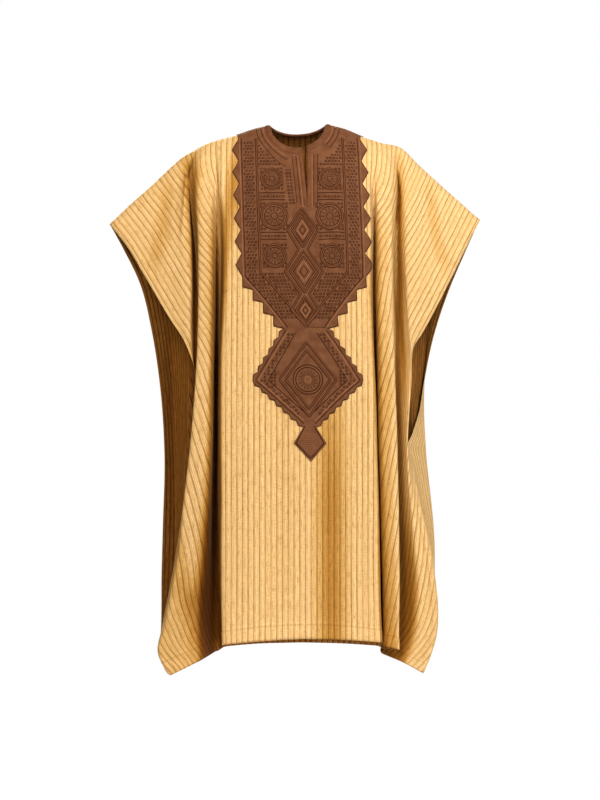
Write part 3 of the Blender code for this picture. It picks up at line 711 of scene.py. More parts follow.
half_columns = (int(HALF_WIDTH), int(HALF_WIDTH) + 1)
# painted shade: the shade painted into the recesses deepens down the cloth
for sheet in (front, back):
    deep = [np.clip((sheet.down - SHADE_FROM) / full, 0.0, 1.0) for full in SHADE_FULL]
    deep = np.repeat(np.stack(deep, axis=1), half_columns, axis=1)
    share = SHADE_LEAST + (1.0 - SHADE_LEAST) * deep
    sheet.open = 1.0 - (1.0 - openness(sheet)) * share
    print("openness from", round(sheet.open.min(), 2), "to", round(sheet.open.max(), 2))

# %% [markdown]
# ## Soft shade beside the folds
# Painted shade also dims the colour a little way out from a recess, where the cloth
# only begins to turn in, and along the troughs of the creases. Each band of painted
# shade is placed from a fold: how far out from the recess it lies, how wide and deep
# it is, and from where to where it runs down the cloth. A band with a negative shade
# paints light into a recess instead.

# %% Bands of shade
TROUGH_SHADE = 0.07        # shade for each millimetre of a crease's depth
BACK_BANDS = (             # recess, outwards at top and foot, half width, shade, top, foot
    ("arm_recess", 2, 70, 26, 0.45, 40, 560), ("recess", -62, -62, 34, 0.26, 60, 1700),
)
SHADE_BANDS = {
    "front_left": (
        ("arm_recess", 2, 98, 26, 0.58, 40, 460), ("arm_recess", -34, -40, 18, 0.34, 40, 330),
        ("recess", 34, 52, 26, 0.50, 870, 1290), ("recess", 82, 86, 30, 0.26, 1060, 1330),
        ("recess", -48, -48, 20, 0.36, 60, 1700), ("recess", 160, 160, 50, 0.12, 760, 1900),
        # a negative shade: painted light in the upper part of the recess
        ("recess", 0, 0, 20, -0.40, -300, 720),
    ),
    "front_right": (
        ("arm_recess", 2, 70, 24, 0.34, 60, 480), ("arm_recess", 60, 60, 28, 0.22, 820, 1290),
        # the last band has a negative shade: painted light in the upper part of the recess
        ("recess", 62, 62, 24, 0.06, 700, 1900), ("recess", 0, 0, 24, -0.45, -300, 760),
    ),
    "back_left": BACK_BANDS,
    "back_right": BACK_BANDS,
}


def shade_bands(sheet, creases):
    """Takes the painted shade of the bands and the creases' troughs off the openness; a negative
    band adds painted light.
    """
    across, down = np.meshgrid(EACH_MM, sheet.down)
    sheet.open += TROUGH_SHADE * np.clip(crease_height(across, down, creases), None, 0.0)
    middle = sheet.points.shape[1] // 2
    for side, (half, folds) in zip((-1, 1), sheet.halves.items()):
        bands = SHADE_BANDS[f"{sheet.name}_{half}"]
        for fold, start, end, half_width, shade, top, foot in bands:
            floor = sheet.across[:, middle + side * column_of(folds, fold)][:, None]
            out = np.interp(sheet.down, (top, foot), (start, end))[:, None]
            beside = (EACH_MM[None] - floor) * side - out
            past = np.clip(np.abs(down - (top + foot) / 2) * 4 / (foot - top) - 1.0, 0.0, None)
            sheet.open -= shade * np.exp(-((beside / half_width) ** 2) - past**2)
    sheet.open = np.clip(sheet.open, 0.0, 1.0)
    print(sheet.name, "is open to", round(sheet.open.mean(), 3), "on average")


shade_bands(front, FRONT_CREASES)
shade_bands(back, BACK_CREASES)

# %% [markdown]
# ## Slanting stripes on the pipe folds
# More cloth goes into the deep side recess lower down than higher up. So the stripes
# of the pipe beside it don't follow the pipe: they slant across it and run into the
# recess. A slide of the flat place outside the recess, growing down the cloth,
# gives that slant. It starts on the recess floor, where its step can't be seen.

# %% Slide of the stripes
NO_SLANT = ((0, 0.0), (LENGTH, 0.0))
STRIPE_SLANT = {  # slope of the stripes down the pipe and down what hangs past it
    "front_left": (((60, 0.0), (300, 0.36), (750, 0.36), (1050, 0.08), (1250, 0.0)), NO_SLANT),
    "front_right": (
        ((60, 0.0), (300, 0.20), (1250, 0.20)), ((540, 0.0), (720, 0.30), (1250, 0.24)),
    ),
    "back_left": (((60, 0.0), (300, 0.24), (900, 0.24), (1250, 0.10)), NO_SLANT),
    "back_right": (((60, 0.0), (300, 0.20), (1250, 0.20)), NO_SLANT),
}


def slid(down, slant):
    """How far the stripes have slid at each distance down the cloth."""
    slope = np.interp(down, *np.transpose(slant))
    return np.concatenate([[0.0], np.cumsum(slope[1:] * np.diff(down))])[:, None]


def slide_stripes(sheet):
    """The slide of the stripes at each point of the sheet's grid."""
    middle = sheet.points.shape[1] // 2
    sheet.slide = np.zeros(sheet.across.shape)
    for side, (half, folds) in zip((-1, 1), sheet.halves.items()):
        start, stop = (column_of(folds, recess) for recess in ("recess", "arm_recess"))
        pipe, drape = STRIPE_SLANT[f"{sheet.name}_{half}"]
        columns = middle + side * np.arange(start + 1, stop + 1)
        sheet.slide[:, columns] = side * slid(sheet.down, pipe)
        columns = middle + side * np.arange(stop + 1, middle + 1)
        sheet.slide[:, columns] = side * slid(sheet.down, drape)
    print(sheet.name, "stripes slide up to", round(float(np.abs(sheet.slide).max())), "mm")


slide_stripes(front)
slide_stripes(back)

# %% [markdown]
# ## The striped cloths
# Each cloth starts as a flat grid of squares. The neck hole is cut while it is still
# flat: a plane slices the grid along each edge of the hole's outline, and the faces
# left inside are taken away. Then every corner moves to its hanging place, the flat
# place goes into the UV map, and a Solidify modifier gives the cloth its thickness.

# %% Outlines of the neck hole and the slit
NECK_CENTRE = -5.0         # the neck hole across, and how far it reaches each way
NECK_HALF_WIDTH = 66.0
NECK_FRONT = 74.0
NECK_BACK = 42.0
NECK_POINTS = 44
SLIT_TOP_WIDTH = 18.0      # the slit, in the front view
SLIT_CENTRE_TOP = 8.0
SLIT_TOP = -20.0
SLIT_FOOT = (17.0, -182.0)
DEPTH, HEIGHT = 1, 2       # which coordinate of a point


def flat_of(sheet, across, target, axis):
    """The flat place that hangs at this width and this depth or height."""
    way = 1 if axis == DEPTH and not sheet.forwards else -1
    a = across
    for _ in range(4):
        line, _normals = sheet.place(np.full(ROWS, a), sheet.down)
        down = float(np.interp(way * target, way * line[:, axis], sheet.down))
        here, _normals = sheet.place(a, down)
        a += across - here[0, 0]
    return a, down


def neck_edge(angle, extra=0.0):
    """A point of the neck hole seen from above, grown by extra."""
    reach = NECK_FRONT if math.sin(angle) < 0 else NECK_BACK
    across = NECK_CENTRE + (NECK_HALF_WIDTH + extra) * math.cos(angle)
    return across, (reach + extra) * math.sin(angle)


def neck_line(sheet):
    """The neck hole's edge on one cloth, in flat places, from -X to +X."""
    turn = math.pi if sheet.forwards else -math.pi
    half = NECK_POINTS // 2
    line = []
    for i in range(half + 1):
        across, depth = neck_edge(math.pi + turn * i / half)
        place = flat_of(sheet, across, depth, DEPTH)
        line.append((place[0], 0.0) if abs(depth) < 1e-6 else place)
    return line


def slit_corners():
    """Top left, foot and top right of the slit, in flat places."""
    half = SLIT_TOP_WIDTH / 2
    corners = ((SLIT_CENTRE_TOP - half, SLIT_TOP), SLIT_FOOT, (SLIT_CENTRE_TOP + half, SLIT_TOP))
    return [flat_of(front, x, z, HEIGHT) for x, z in corners]


front_neck = neck_line(front)
back_neck = neck_line(back)
slit_left, slit_foot, slit_right = slit_corners()
print("flat places of the slit:", [rounded(p) for p in (slit_left, slit_foot, slit_right)])

# %% Cutting a hole in a flat cloth
ABOVE_SHOULDER = -8.0      # the neck's cut goes through the shoulder, up to here
CUT_MARGIN = 25.0          # faces this far round a hole are looked at for the cut


def hole_of(line):
    """A neck line closed a little above the shoulder, so that the cut goes through it."""
    return [(line[0][0], ABOVE_SHOULDER), *line, (line[-1][0], ABOVE_SHOULDER)]


def flat_middle(face):
    middle = face.calc_center_median()
    return middle.x, middle.y


def cut_away(shape, outline):
    """Takes the faces inside a convex outline out of a flat bmesh."""
    middle = np.mean(outline, axis=0)
    reach = max(math.dist(p, middle) for p in outline) + CUT_MARGIN
    inside = [f for f in shape.faces if math.dist(flat_middle(f), middle) < reach]
    for p, q in zip(outline, outline[1:] + outline[:1]):
        normal = np.array((q[1] - p[1], p[0] - q[0]))
        if np.dot(normal, middle - np.array(p)) > 0:
            normal = -normal
        geometry = {e for f in inside for e in (*f.verts, *f.edges, f)}
        cut = bmesh.ops.bisect_plane(
            shape, geom=list(geometry), dist=0.01,
            plane_co=(p[0], p[1], 0.0), plane_no=(normal[0], normal[1], 0.0),
        )
        faces = {g for g in cut["geom"] if isinstance(g, bmesh.types.BMFace)}
        inside = [f for f in faces if np.dot(normal, np.array(flat_middle(f)) - np.array(p)) < 0]
    bmesh.ops.delete(shape, geom=inside, context="FACES")


print("corners of the holes:", len(hole_of(front_neck)), len(hole_of(back_neck)), 3)

# %% Hanging a piece
CLOTH = 1.2                # thickness of the striped cloth


def finish_piece(name, shape, materials, thickness=0.0, offset=0.0):
    """Makes the object, with smooth faces and, if asked, a thickness."""
    for face in shape.faces:
        face.smooth = True
    mesh = bpy.data.meshes.new(name)
    shape.to_mesh(mesh)
    shape.free()
    for finish in materials:
        mesh.materials.append(finish)
    made = bpy.data.objects.new(name, mesh)
    bpy.context.scene.collection.objects.link(made)
    if thickness:
        wall = made.modifiers.new("thickness", "SOLIDIFY")
        wall.thickness = thickness * MM
        wall.offset = offset
    print(name, len(mesh.vertices), "points")
    return made


def face_out(shape, sheet):
    """Turns all faces round together if they look into the robe."""
    shape.normal_update()
    outwards = sum(f.normal.y * f.calc_area() for f in shape.faces)
    if (outwards > 0) == sheet.forwards:
        bmesh.ops.reverse_faces(shape, faces=shape.faces)


def striped_cloth(name, sheet, holes, finishes):
    """One cloth: a grid with the sheet's own columns, so each fold keeps its points."""
    rows, columns = sheet.across.shape
    shape = bmesh.new()
    bmesh.ops.create_grid(shape, x_segments=columns - 1, y_segments=rows - 1, size=0.5)
    place = shape.verts.layers.float_vector.new("place")
    openness_kept = shape.verts.layers.float.new("open")
    slide = shape.verts.layers.float.new("slide")
    for vert in shape.verts:
        column = round((vert.co.x + 0.5) * (columns - 1))
        row = round((0.5 - vert.co.y) * (rows - 1))
        flat = sheet.across[row, column]
        vert[place] = Vector(sheet.points[row, column]) * MM
        vert[openness_kept] = sheet.open[row, round(flat + HALF_WIDTH)]
        vert[slide] = sheet.slide[row, column]
        vert.co = (flat, sheet.down[row], 0.0)
    for outline in holes:
        cut_away(shape, outline)
    uv = shape.loops.layers.uv.new("flat")
    for face in shape.faces:
        for loop in face.loops:
            flat = loop.vert.co.xy
            loop[uv].uv = ((flat.x + loop.vert[slide]) * MM, flat.y * MM)
    for vert in shape.verts:
        vert.co = vert[place]
    shape.verts.layers.float_vector.remove(place)
    shape.verts.layers.float.remove(shape.verts.layers.float["slide"])
    face_out(shape, sheet)
    made = finish_piece(name, shape, finishes, CLOTH)
    made.modifiers["thickness"].material_offset = 1
    return made


print("a striped cloth is", CLOTH, "mm thick, with", ROWS, "rows of points")

# %% [markdown]
# ## Finishes
# The woven stripes run down the cloth, so their pattern is worked out from the flat
# place: the distance across decides the stripe, and noise that is drawn out along
# the threads makes them slubby. A little sheen gives the soft glow of cotton on the
# folds. The brown cloth has a fine twill, and the cords have the twist of a thread.

# %% Node helpers
def add_node(tree, kind, inputs=None, **settings):
    """Adds a node; an input is either a value or another node's output."""
    made = tree.nodes.new(kind)
    for name, value in settings.items():
        setattr(made, name, value)
    for socket, value in (inputs or {}).items():
        if isinstance(value, bpy.types.NodeSocket):
            tree.links.new(value, made.inputs[socket])
        else:
            made.inputs[socket].default_value = value
    return made


def sums(tree, operation, first, second=0.0, third=0.0):
    inputs = {0: first, 1: second, 2: third}
    return add_node(tree, "ShaderNodeMath", inputs, operation=operation).outputs[0]


def flat_place(tree, layer="flat"):
    """The distances across and down the flat cloth, in metres."""
    uv = add_node(tree, "ShaderNodeUVMap", uv_map=layer)
    apart = add_node(tree, "ShaderNodeSeparateXYZ", {0: uv.outputs[0]})
    return apart.outputs["X"], apart.outputs["Y"]


def drawn_noise(tree, across, down, across_scale, down_scale, detail):
    """Noise with one scale across the cloth and another one down it."""
    place = add_node(tree, "ShaderNodeCombineXYZ", {
        "X": sums(tree, "MULTIPLY", across, across_scale),
        "Y": sums(tree, "MULTIPLY", down, down_scale),
    })
    inputs = {"Vector": place.outputs[0], "Scale": 1.0, "Detail": detail}
    return add_node(tree, "ShaderNodeTexNoise", inputs).outputs["Fac"]


print("each metre of flat cloth is one unit of the UV map")

# %% Colour helpers
WARM_SHINE = (1.0, 0.80, 0.58, 1.0)
SHEEN_ROUGHNESS = 0.4


def colour_ramp(tree, factor, stops):
    ramp = add_node(tree, "ShaderNodeValToRGB", {"Fac": factor})
    elements = ramp.color_ramp.elements
    while len(elements) > 1:
        elements.remove(elements[-1])
    for i, (place, colour) in enumerate(stops):
        stop = elements[0] if i == 0 else elements.new(place)
        stop.position = place
        stop.color = (*colour, 1.0)
    return ramp.outputs["Color"]


def mixed(tree, factor, first, second, blend="MIX"):
    made = add_node(tree, "ShaderNodeMix", data_type="RGBA", blend_type=blend)
    for socket, value in ((0, factor), (6, first), (7, second)):
        if isinstance(value, bpy.types.NodeSocket):
            tree.links.new(value, made.inputs[socket])
        else:
            made.inputs[socket].default_value = (*value, 1.0) if socket else value
    return made.outputs[2]


def times(tree, colour, other, share=1.0):
    """One colour multiplied by another, fully or by a share."""
    return mixed(tree, share, colour, other, "MULTIPLY")


def finish_of(name, roughness, specular, sheen, sheen_tint):
    finish = bpy.data.materials.new(name)
    finish.use_nodes = True
    surface = finish.node_tree.nodes["Principled BSDF"]
    surface.inputs["Roughness"].default_value = roughness
    surface.inputs["Specular IOR Level"].default_value = specular
    surface.inputs["Specular Tint"].default_value = WARM_SHINE
    surface.inputs["Sheen Weight"].default_value = sheen
    surface.inputs["Sheen Roughness"].default_value = SHEEN_ROUGHNESS
    surface.inputs["Sheen Tint"].default_value = (*sheen_tint, 1.0)
    return finish, finish.node_tree, surface


def raise_surface(tree, surface, height, distance, strength):
    bump = add_node(tree, "ShaderNodeBump", {
        "Height": height, "Distance": distance, "Strength": strength,
    })
    tree.links.new(bump.outputs[0], surface.inputs["Normal"])


print("tint of every finish's highlight:", rounded(WARM_SHINE[:3]))

# %% Colours of the striped cotton
STRIPE_REPEAT = 0.0133     # metres across one repeat of the stripes
THREAD = 0.0009            # metres between threads
CREAM = (0.79, 0.578, 0.316)
GOLD = (0.65, 0.432, 0.197)
OLIVE = (0.40, 0.240, 0.092)
TAN = (0.49, 0.30, 0.118)
STRIPES = (  # one repeat across the cloth: a soft dark stripe and a few fine lines
    (0.00, CREAM), (0.06, GOLD), (0.11, GOLD), (0.17, CREAM), (0.24, CREAM), (0.30, GOLD),
    (0.36, TAN), (0.41, OLIVE), (0.51, OLIVE), (0.57, TAN), (0.63, GOLD), (0.70, CREAM),
    (0.76, GOLD), (0.80, TAN), (0.84, GOLD), (0.90, CREAM), (1.00, CREAM),
)
# painted shade: darkens and warms the colour by how open the cloth is
FOLD_SHADE = (  # tone from the floor of a deep fold to an open crest
    (0.0, (0.110, 0.042, 0.003)), (0.28, (0.185, 0.086, 0.009)), (0.50, (0.355, 0.205, 0.043)),
    (0.70, (0.60, 0.445, 0.195)), (0.84, (0.83, 0.745, 0.54)), (0.96, (1.0, 1.0, 1.0)),
)
FINE_THREADS = (
    (0.30, (0.74, 0.68, 0.58)), (0.50, (0.97, 0.96, 0.94)), (0.72, (1.10, 1.08, 1.01)),
)
SPECKS = (
    (0.29, (0.68, 0.57, 0.38)), (0.38, (0.97, 0.95, 0.91)), (0.58, (1.0, 1.0, 1.0)),
    (0.70, (1.12, 1.13, 1.15)),
)
WEAVE = ((0.0, (0.80, 0.75, 0.68)), (0.45, (1.0, 1.0, 1.0)), (1.0, (1.08, 1.08, 1.06)))
PICKS = ((0.32, (0.86, 0.81, 0.73)), (0.50, (1.0, 1.0, 1.0)), (0.70, (1.08, 1.08, 1.07)))
FADING = ((0.42, (0.0, 0.0, 0.0)), (0.66, (0.60, 0.60, 0.60)))
HEM_LINE_FROM = 0.7        # metres down the cloth where the next ramp starts
# painted highlight and painted shade on the turned hem
HEM_LIGHT_AND_SHADE = (  # tone across the turned hem: painted highlight at its edge, a dark line at the stitches, a paler band, painted shade at the bottom fold
    (0.507, (1.0, 1.0, 1.0)), (0.511, (1.14, 1.15, 1.20)), (0.515, (0.86, 0.82, 0.76)),
    (0.519, (1.04, 1.04, 1.06)), (0.548, (1.04, 1.04, 1.06)), (0.550, (0.85, 0.80, 0.72)),
)
# painted shade: the inside of the cloth is a darker copy of the outside
INSIDE_SHADE = (0.58, 0.54, 0.47)
print("one repeat of the stripes:", len(STRIPES), "stops in", STRIPE_REPEAT, "m")

# %% The striped cotton
WANDER = 0.0010            # metres by which the stripes waver
STRIPES_START = 10.0       # added to the distance across, so that it stays above zero
WEAVE_HEIGHT = 0.00012     # metres from the floor of the weave to its threads
NOISES = {  # waves in a metre across and down the cloth, and detail
    "wander": (70.0, 5.0, 2.0), "patches": (58.0, 3.0, 2.0), "specks": (350.0, 50.0, 2.0),
    "slubs": (1 / THREAD, 26.0, 1.0), "picks": (70.0, 0.8 / THREAD, 1.0),
}


def fold_shade(tree, colour):
    """The colour with painted shade, darker where the cloth lies deep in a fold."""
    open_place = add_node(tree, "ShaderNodeAttribute", attribute_name="open").outputs["Fac"]
    return times(tree, colour, colour_ramp(tree, open_place, FOLD_SHADE))


def stripe_colour(tree, across, down):
    """The stripes, wavering a little and faded in broad patches."""
    wander = drawn_noise(tree, across, down, *NOISES["wander"])
    moved = sums(tree, "MULTIPLY_ADD", sums(tree, "SUBTRACT", wander, 0.5), WANDER, across)
    turns = sums(tree, "DIVIDE", sums(tree, "ADD", moved, STRIPES_START), STRIPE_REPEAT)
    stripes = colour_ramp(tree, sums(tree, "FRACT", turns), STRIPES)
    patches = drawn_noise(tree, across, down, *NOISES["patches"])
    return mixed(tree, colour_ramp(tree, patches, FADING), stripes, GOLD)


def striped_finish(name, inside=False):
    finish, tree, surface = finish_of(
        name, roughness=0.68, specular=0.12, sheen=0.09, sheen_tint=(1.0, 0.76, 0.42),
    )
    across, down = flat_place(tree)
    specks, slubs, picks = (
        drawn_noise(tree, across, down, *NOISES[kind]) for kind in ("specks", "slubs", "picks")
    )
    warp = sums(tree, "SINE", sums(tree, "MULTIPLY", across, math.tau / THREAD))
    weft = sums(tree, "SINE", sums(tree, "MULTIPLY", down, math.tau / THREAD))
    weave = sums(tree, "MULTIPLY", warp, weft)
    over_under = sums(tree, "MULTIPLY_ADD", weave, 0.5, 0.5)
    from_hem = sums(tree, "SUBTRACT", down, HEM_LINE_FROM)
    woven = stripe_colour(tree, across, down)
    for factor, stops, share in (
        (specks, SPECKS, 1.0), (slubs, FINE_THREADS, 0.8), (from_hem, HEM_LIGHT_AND_SHADE, 1.0),
        (picks, PICKS, 1.0), (over_under, WEAVE, 1.0),
    ):
        woven = times(tree, woven, colour_ramp(tree, factor, stops), share)
    # painted shade and light: the inside is darkened, and its stripes' contrast raised for the
    # light that comes through the cloth
    if inside:
        toned = times(tree, times(tree, woven, woven), INSIDE_SHADE)
    else:
        toned = fold_shade(tree, woven)
    tree.links.new(toned, surface.inputs["Base Color"])
    height = sums(tree, "MULTIPLY_ADD", sums(tree, "ADD", slubs, picks), 0.8, weave)
    raise_surface(tree, surface, height, WEAVE_HEIGHT, 0.8)
    return finish


striped = striped_finish("striped_cotton")
striped_inside = striped_finish("striped_cotton_inside", inside=True)
print("striped cotton:", len(striped.node_tree.nodes), "nodes")

# %% The brown cloth and threads
BROWN = (0.112, 0.0405, 0.0180)
BROWN_LIGHT = (0.170, 0.069, 0.0325)
# painted shade: the near-black of the dark cords stands for the shade in the grooves of the
# raised work
CORD_DARK = (0.034, 0.0085, 0.0030)
CORD_LIGHT = (0.30, 0.125, 0.058)
CORD_BROWN = (0.165, 0.060, 0.025)
STITCH_GOLD = (0.60, 0.40, 0.18)
TWILL = 0.0011             # metres between the slanting ridges of the brown cloth
CORD_TWIST = 0.0022        # metres of cord for one turn of its thread
CORD_GROOVE_SHADE = 0.62         # painted shade between the turns
TWILL_HEIGHT = 0.0001
TWIST_HEIGHT = 0.0002


def brown_finish(name, sheen=0.06, specular=0.18):
    finish, tree, surface = finish_of(
        name, roughness=0.8, specular=specular, sheen=sheen, sheen_tint=(0.8, 0.5, 0.35),
    )
    across, down = flat_place(tree)
    slant = sums(tree, "ADD", across, down)
    twill = sums(tree, "SINE", sums(tree, "MULTIPLY", slant, math.tau / TWILL))
    cloudy = drawn_noise(tree, across, down, 45.0, 45.0, 3.0)
    tone = colour_ramp(tree, cloudy, ((0.3, BROWN), (0.7, BROWN_LIGHT)))
    lines = sums(tree, "MULTIPLY_ADD", twill, 0.08, 0.92)
    grey = add_node(tree, "ShaderNodeCombineXYZ", {0: lines, 1: lines, 2: lines}).outputs[0]
    tree.links.new(times(tree, tone, grey), surface.inputs["Base Color"])
    raise_surface(tree, surface, twill, TWILL_HEIGHT, 0.7)
    return finish


def cord_finish(name, colour, in_folds=False):
    """Thread: slanting bands along the cord, with painted shade in the grooves between the
    turns.
    """
    finish, tree, surface = finish_of(
        name, roughness=0.55, specular=0.10, sheen=0.0, sheen_tint=(1.0, 1.0, 1.0),
    )
    run, beside = flat_place(tree, "run")
    slant = sums(tree, "MULTIPLY_ADD", run, 1 / CORD_TWIST, beside)
    band = sums(tree, "SINE", sums(tree, "MULTIPLY", slant, math.tau))
    rise = sums(tree, "MULTIPLY_ADD", band, 0.5, 0.5)
    groove_shade = tuple(CORD_GROOVE_SHADE * c for c in colour)
    tone = colour_ramp(tree, rise, ((0.1, groove_shade), (0.7, colour)))
    tone = fold_shade(tree, tone) if in_folds else tone
    tree.links.new(tone, surface.inputs["Base Color"])
    raise_surface(tree, surface, band, TWIST_HEIGHT, 0.6)
    return finish


brown = brown_finish("brown_twill")
brown_roll = brown_finish("brown_roll", sheen=0.0, specular=0.03)
dark_cord = cord_finish("dark_cord", CORD_DARK)
light_cord = cord_finish("light_cord", CORD_LIGHT)
brown_cord = cord_finish("brown_cord", CORD_BROWN)
# the stitches also take the painted shade of the folds
gold_thread = cord_finish("gold_thread", STITCH_GOLD, in_folds=True)
print("finishes:", [finish.name for finish in bpy.data.materials])

# %% The two cloths of the robe
def stands_for(piece, node):
    """The piece rides on the robe's one body and takes the place of a solid, which is hidden."""
    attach(piece, "root")
    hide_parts(node)


slit_hole = [slit_left, slit_foot, slit_right]
cotton = [striped, striped_inside]
front_cloth = striped_cloth("front_cloth", front, (hole_of(front_neck), slit_hole), cotton)
back_cloth = striped_cloth("back_cloth", back, (hole_of(back_neck),), cotton)
stands_for(front_cloth, "front_panel")
stands_for(back_cloth, "back_panel")

# %% [markdown]
# ## Brown work laid on the cloth
# The yoke, the pendant and the back yoke are cut from brown cloth and sewn on. Each
# is one face with the outline's corners, sliced into small squares by planes, and
# then laid on the hanging cloth point by point, so it follows every fold under it.
# The outlines are measured in the front view, where the teeth are even, about an
# axis that leans a little.

# %% Sizes of the brown work
YOKE_AXIS_LEAN = -0.036    # across for each millimetre of height
YOKE_AXIS_START = -3.0
YOKE_HALF_WIDTH = 158.0    # the yoke: straight sides, then slanting ones to a waist
YOKE_TOP = -26.0           # where they start, and how far they flare from there up
YOKE_FLARE = 4.0
YOKE_SIDE_FOOT = -352.0
YOKE_WAIST_HALF = 52.0
YOKE_FOOT = -472.0
TOOTH_PITCH = 54.0
TOOTH_DEPTH = 15.0
WAIST_TOOTH_PITCH = 38.0
PENDANT_HALF_WIDTH = 128.0  # the pendant: out to its widest, in to a neck, and a drop
PENDANT_WIDEST = -592.0
PENDANT_NECK_HALF = 15.0
PENDANT_NECK = -700.0
DROP_HALF_WIDTH = 38.0
DROP_WIDEST = -737.0
DROP_TIP = -780.0
SMALL_TOOTH_PITCH = 24.0
SMALL_TOOTH_DEPTH = 6.0
BACK_YOKE_HALF_WIDTH = 150.0
BACK_YOKE_SIDE = -26.0
BACK_YOKE_FOOT = -78.0
BACK_YOKE_STEPS = 16

print("the yoke is", 2 * YOKE_HALF_WIDTH, "mm wide and reaches down to", YOKE_FOOT)

# %% Sides and their teeth
def axis_at(height):
    return YOKE_AXIS_START + YOKE_AXIS_LEAN * height


def toothed(start, end, pitch, depth):
    """A run of pointed teeth down the left side of an outline, standing outwards."""
    start, end = np.array(start, float), np.array(end, float)
    run = np.linalg.norm(end - start)
    count = max(1, round(run / pitch))
    way = (end - start) / run
    out = np.array((way[1], -way[0])) * depth
    points = []
    for i in range(count):
        points.append(tuple(start + way * run * i / count))
        points.append(tuple(start + way * run * (i + 0.5) / count + out))
    return points


def yoke_side():
    """The left side of the yoke's outline, shoulder to waist."""
    side = YOKE_HALF_WIDTH - TOOTH_DEPTH
    shoulder, hip = (-side, YOKE_TOP), (-side, YOKE_SIDE_FOOT)
    waist = (-YOKE_WAIST_HALF, YOKE_FOOT)
    points = toothed(shoulder, hip, TOOTH_PITCH, TOOTH_DEPTH)
    points += toothed(hip, waist, WAIST_TOOTH_PITCH, TOOTH_DEPTH)
    return [*points, waist]


def pendant_side():
    """The left side of the pendant's outline, waist to drop."""
    waist, widest = (-YOKE_WAIST_HALF, YOKE_FOOT), (-PENDANT_HALF_WIDTH, PENDANT_WIDEST)
    neck, drop = (-PENDANT_NECK_HALF, PENDANT_NECK), (-DROP_HALF_WIDTH, DROP_WIDEST)
    points = toothed(waist, widest, SMALL_TOOTH_PITCH, SMALL_TOOTH_DEPTH)
    points += toothed(widest, neck, SMALL_TOOTH_PITCH, SMALL_TOOTH_DEPTH)
    return [*points, neck, drop]


def about_axis(points):
    """Points given from the leaning axis, as places in the front view."""
    return [(axis_at(z) + s, z) for s, z in points]


def mirrored(points):
    return [(-s, z) for s, z in reversed(points)]


def flat_line(points, sheet):
    """Front view places as flat places on the cloth."""
    return [flat_of(sheet, x, z, HEIGHT) for x, z in points]


def meets_neck(corner):
    """Where the slit's edge down from this corner leaves the neck hole."""
    share = np.linspace(0.0, 1.0, 400)[:, None]
    edge = np.array(corner) * (1 - share) + np.array(slit_foot) * share
    below = edge[:, 1] > np.interp(edge[:, 0], *np.transpose(front_neck))
    return tuple(edge[np.argmax(below)])


print("the yoke's axis leans from", axis_at(YOKE_TOP), "to", axis_at(DROP_TIP))

# %% Outlines laid flat
half_yoke, half_pendant = yoke_side(), pendant_side()
down_sides = flat_line(about_axis([*half_yoke, *mirrored(half_yoke)]), front)
slit_at_neck = [meets_neck(slit_left), meets_neck(slit_right)]
neck_left = [p for p in front_neck if p[0] < slit_at_neck[0][0] - 0.5]
neck_right = [p for p in front_neck if p[0] > slit_at_neck[1][0] + 0.5]
yoke_outline = [
    (down_sides[0][0] - YOKE_FLARE, 0.0), *down_sides, (down_sides[-1][0] + YOKE_FLARE, 0.0),
    *neck_right[::-1], slit_at_neck[1], slit_foot, slit_at_neck[0], *neck_left[::-1],
]
pendant_all_round = about_axis([*half_pendant, (0, DROP_TIP), *mirrored(half_pendant)])
pendant_outline = flat_line(pendant_all_round, front)
back_curve = []
for step in range(2 * BACK_YOKE_STEPS + 1):
    t = step / BACK_YOKE_STEPS - 1
    drop = (BACK_YOKE_FOOT - BACK_YOKE_SIDE) * math.cos(t * math.pi / 2)
    back_curve.append((BACK_YOKE_HALF_WIDTH * t, BACK_YOKE_SIDE + drop))
back_sides = flat_line(back_curve, back)
back_outline = [(back_sides[0][0], 0.0), *back_sides, (back_sides[-1][0], 0.0), *back_neck[::-1]]
print("corners of the yoke:", len(yoke_outline))
print("corners of the pendant and of the back yoke:", len(pendant_outline), len(back_outline))

# %% Cutting and laying the brown cloth
BROWN_CLOTH = 1.4          # thickness of the brown cloth
BROWN_LIFT = CLOTH / 2 + 0.2
CELL = 5.0                 # size of the squares that it is sliced into


def hang(shape, sheet, lift):
    """Moves a flat bmesh to its hanging place and keeps the flat place as UV."""
    shape.verts.ensure_lookup_table()
    flat = np.array([v.co for v in shape.verts])
    uv = shape.loops.layers.uv.new("flat")
    for face in shape.faces:
        for loop in face.loops:
            loop[uv].uv = loop.vert.co.xy * MM
    places, _normals = sheet.place(flat[:, 0], flat[:, 1], lift)
    for vert, place in zip(shape.verts, places * MM):
        vert.co = place
    face_out(shape, sheet)


def flat_area(outline):
    a, d = np.transpose(outline)
    return 0.5 * abs(np.dot(a, np.roll(d, -1)) - np.dot(d, np.roll(a, -1)))


def brown_piece(name, sheet, outline, node):
    """Cuts the outline, slices it, lays it on its cloth and gives it a thickness."""
    shape = bmesh.new()
    shape.faces.new([shape.verts.new((a, d, 0.0)) for a, d in outline])
    low, high = np.min(outline, axis=0), np.max(outline, axis=0)
    for axis, way in ((0, (1, 0, 0)), (1, (0, 1, 0))):
        for cut in np.arange(low[axis] + CELL / 2, high[axis], CELL):
            bmesh.ops.bisect_plane(
                shape, geom=[*shape.verts, *shape.edges, *shape.faces], dist=0.01,
                plane_co=tuple(cut * np.array(way)), plane_no=way,
            )
    kept = sum(face.calc_area() for face in shape.faces)
    print(name, "area", round(kept), "of", round(flat_area(outline)), "square mm")
    hang(shape, sheet, BROWN_LIFT)
    made = finish_piece(name, shape, [brown], BROWN_CLOTH, 1.0)
    stands_for(made, node)
    return made


yoke = brown_piece("front_yoke_cloth", front, yoke_outline, "front_yoke")
pendant = brown_piece("pendant_cloth", front, pendant_outline, "pendant")
back_yoke = brown_piece("back_yoke_cloth", back, back_outline, "back_yoke")

